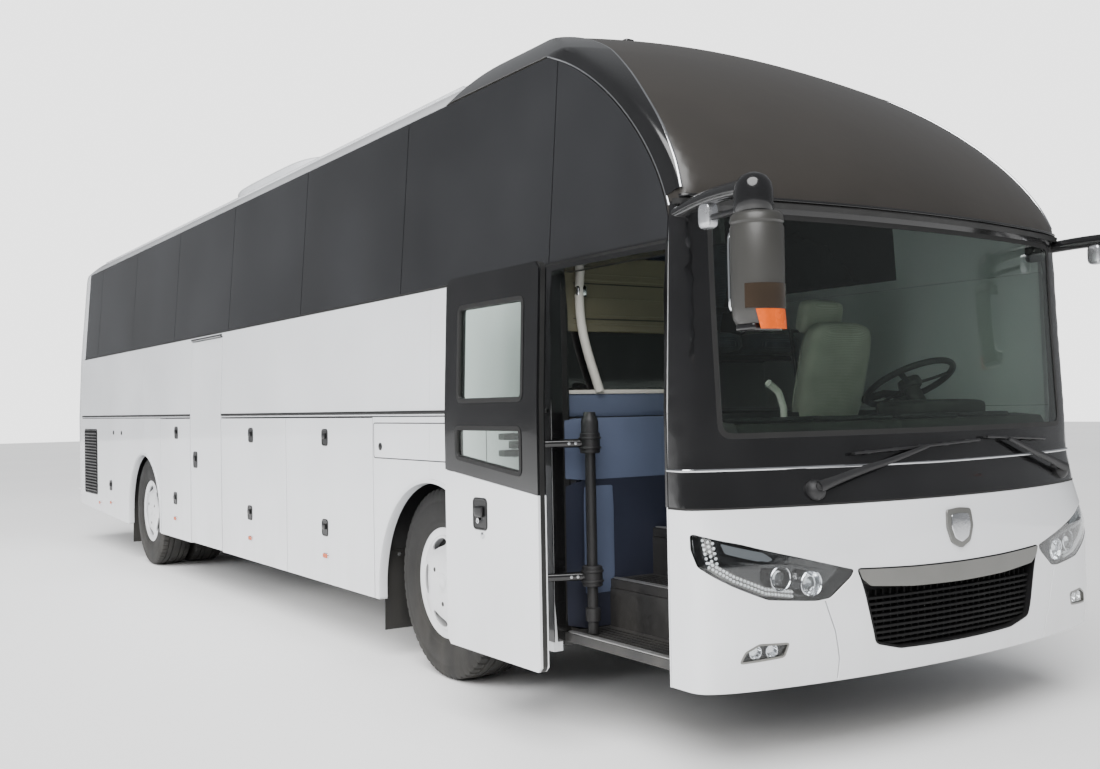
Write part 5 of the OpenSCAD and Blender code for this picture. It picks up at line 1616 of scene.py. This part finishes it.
def edge_loop(half, z, power=5.0, n=72):
    """The level section of |x/a|^k + |y/b|^k + |z/c|^k = 1 at a height z."""
    t = np.linspace(0, 2 * math.pi, n, endpoint=False)
    c, s = np.cos(t), np.sin(t)
    k = (np.abs(c) ** power + np.abs(s) ** power) ** (-1 / power)
    k = k * (1 - min(.99, abs(z / half[2])) ** power) ** (1 / power)
    return np.column_stack([half[0] * k * c, half[1] * k * s, np.full(n, z)])


LEAN = math.radians(-76)
seat_at, floor_at = BOX["driver_seat"], BOX["driver_seat"][0].z
sx, sy = seat_at[0].x + .18, (seat_at[0].y + seat_at[1].y) / 2
driver = Piece("driver_seat_pads")
base_at, back_at = (sx + .215, sy, floor_at + .425), (sx - .035, sy, floor_at + .735)
head_at = (sx - .118, sy, floor_at + 1.055)
base_half, back_half, head_half = (.228, .235, .062), (.290, .238, .052), (.095, .150, .045)
v, f = blown(base_half, (18, 18, 5), [(1, -.62), (1, .62)])
driver.add(tipped(v, 0, base_at), f.tolist(), CLOTH)
v, f = blown(back_half, (22, 18, 5), [(1, -.6), (1, .6)], .009, .016)
driver.add(tipped(v, LEAN, back_at), f.tolist(), COVER)
v, f = blown(head_half, (10, 12, 5), [], 0, .012)
driver.add(tipped(v, LEAN, head_at), f.tolist(), COVER)
for half, tilt, place, mat in ((base_half, 0, base_at, CLOTH), (back_half, LEAN, back_at, COVER)):
    loop = tipped(edge_loop(half, half[2] * .72) * [1.004, 1.004, 1], tilt, place)
    driver.tube(np.vstack([loop, loop[:1]]), .0045, mat, 8)
driver = driver.done(ROOT, "pale_cloth", ["driver_seat"], angle=60)
frame_parts = Piece("driver_seat_frame")
frame_parts.block((sx - .01, sy - .225, floor_at + .335), (sx + .43, sy + .225, floor_at + .375),
                  PLASTIC, 8, 28)
frame_parts.block((sx + .06, sy - .19, floor_at), (sx + .38, sy + .19, floor_at + .06), CHASSIS, 12, 24)
t = np.linspace(0, 2 * math.pi, 60, endpoint=False)
rows = []
for k, z in enumerate(np.linspace(floor_at + .055, floor_at + .335, 25)):
    r = 1.0 - .06 * (k % 2)
    rows.append(np.column_stack([sx + .22 + .17 * r * np.sign(np.cos(t)) * np.abs(np.cos(t)) ** .5,
                                 sy + .18 * r * np.sign(np.sin(t)) * np.abs(np.sin(t)) ** .5,
                                 np.full(60, z)]))
frame_parts.grid(np.array(rows), RUBBER, wrap_v=True, caps=True)
frame_parts.tube(np.array([[sx - .02, sy - .2, floor_at + .36], [sx - .06, sy - .2, floor_at + .5],
                           [sx - .16, sy - .18, floor_at + .98], [sx - .16, sy + .18, floor_at + .98],
                           [sx - .06, sy + .2, floor_at + .5], [sx - .02, sy + .2, floor_at + .36]]),
                           .014, CHASSIS, 10)
frame_parts.tube(np.array([[sx - .04, sy + .245, floor_at + .60], [sx + .1, sy + .25, floor_at + .63],
                           [sx + .24, sy + .25, floor_at + .62]]), .022, PLASTIC, 12)
frame_parts.done(ROOT, "chassis_black")

pads, frames_all = Piece("passenger_seat_pads"), Piece("passenger_seat_frames")
low, high = BOX["passenger_seats"]
cushion, cf = blown((.225, .212, .058), (11, 11, 4), [(0, .1)], .007, .012)
rest, rf = blown((.325, .212, .046), (15, 11, 4), [(0, -.3), (0, .45)], .008, .014)
CABIN_Z = low.z
rows_x = [high.x - .45 - .79 * i for i in range(11)]
for x in rows_x:
    for s in (1, -1):
        if s < 0 and x + .45 > MID0 - .04 and x - .18 < MID1 + .06:
            continue
        for y in (s * .68 - .228, s * .68 + .228):
            pads.add(tipped(cushion, math.radians(-3), (x + .215, y, CABIN_Z + .412)), cf.tolist(),
                     CLOTH)
            pads.add(tipped(rest, LEAN, (x - .045, y, CABIN_Z + .765)), rf.tolist(), CLOTH)
            shell_path = np.array([[x - .035, y, CABIN_Z + .46], [x - .09, y, CABIN_Z + .7],
                                   [x - .155, y, CABIN_Z + .98]])
            frames_all.tube(shell_path, np.array([.19, .20, .17]), PLASTIC, 14, (0, 1, 0), .14)
        for y in (s * .68 - .445, s * .68, s * .68 + .445):
            frames_all.tube(np.array([[x - .02, y, CABIN_Z + .63], [x + .12, y, CABIN_Z + .64],
                                      [x + .26, y, CABIN_Z + .63]]), .018, PLASTIC, 8)
        for dx in (.10, .34):
            frames_all.tube(np.array([[x + dx, s * .68 + .2, CABIN_Z + .005],
                                      [x + dx, s * .68 + .2, CABIN_Z + .35]]), .02,
                            CHASSIS, 8)
            frames_all.tube(np.array([[x + dx, s * .68 - .42, CABIN_Z + .33],
                                      [x + dx, s * .68 + .42, CABIN_Z + .33]]),
                            .018, CHASSIS, 8)
pads = pads.done(ROOT, "seat_cloth", ["passenger_seats"], angle=60)
frames_all.done(ROOT, "chassis_black")


# ---- Floor, light and camera ----
floor = bpy.data.meshes.new("floor")
reach = 60.0
floor.from_pydata([(-reach, -reach, 0), (reach, -reach, 0), (reach, reach, 0), (-reach, reach, 0)], [],
                  [(0, 1, 2, 3)])
floor.materials.append(finish("pale floor", (.93, .93, .93), .6, (.2, .015), .03, 0, 1, (6, .0004)))
floor = bpy.data.objects.new("floor", floor)
bpy.context.scene.collection.objects.link(floor)

world = bpy.data.worlds.new("studio")
bpy.context.scene.world = world
world.use_nodes = True
tree = world.node_tree
seen, sky = tree.nodes["Background"], tree.nodes.new("ShaderNodeBackground")
path, mix = tree.nodes.new("ShaderNodeLightPath"), tree.nodes.new("ShaderNodeMixShader")
seen.inputs["Color"].default_value, seen.inputs["Strength"].default_value = (1, 1, 1, 1), 2.8
sky.inputs["Color"].default_value, sky.inputs["Strength"].default_value = (.95, .97, 1.0, 1), .30
tree.links.new(path.outputs["Is Camera Ray"], mix.inputs[0])
tree.links.new(sky.outputs[0], mix.inputs[1])
tree.links.new(seen.outputs[0], mix.inputs[2])
tree.links.new(mix.outputs[0], tree.nodes["World Output"].inputs["Surface"])


def soft_light(name, place, aim, size, power, tint=(1, 1, 1)):
    """A rectangular area light at a place, turned towards an aim."""
    lamp = bpy.data.lights.new(name, "AREA")
    lamp.shape, lamp.size, lamp.size_y = "RECTANGLE", size[0], size[1]
    lamp.energy, lamp.color = power, tint
    o = bpy.data.objects.new(name, lamp)
    bpy.context.scene.collection.objects.link(o)
    o.location = place
    o.rotation_mode = "QUATERNION"
    o.rotation_quaternion = (Vector(aim) - Vector(place)).to_track_quat("-Z", "Y")
    return o


soft_light("front_right", (13, -9, 7), (3, 0, 1.5), (9, 6), 1500, (1, .98, .95)).visible_glossy = False
soft_light("side_fill", (-3, -13, 6), (-1, 0, 1.2), (14, 5), 1700).visible_glossy = False
sun = bpy.data.lights.new("high_soft_sun", "SUN")
sun.energy, sun.angle = 4.2, math.radians(48)
sun = bpy.data.objects.new("high_soft_sun", sun)
bpy.context.scene.collection.objects.link(sun)
sun.rotation_mode = "QUATERNION"
sun.rotation_quaternion = Vector((-.42, .50, -1)).to_track_quat("-Z", "Y")

camera = bpy.data.cameras.new("camera")
camera.sensor_width, camera.lens = 36.0, 37.86
camera.clip_end = 400
camera = bpy.data.objects.new("camera", camera)
bpy.context.scene.collection.objects.link(camera)
yaw, pitch, roll = (math.radians(a) for a in (146.6, 1.09, -1.05))
look = Vector((math.cos(yaw) * math.cos(pitch), math.sin(yaw) * math.cos(pitch), math.sin(pitch)))
right = look.cross(Vector((0, 0, 1))).normalized()
up = right.cross(look)
right, up = right * math.cos(roll) + up * math.sin(roll), up * math.cos(roll) - right * math.sin(roll)
m = [[right[i], up[i], -look[i]] for i in range(3)]
camera.matrix_world = Matrix.Translation((8.953, -4.185, 1.474)) @ Matrix(m).to_4x4()
bpy.context.scene.camera = camera
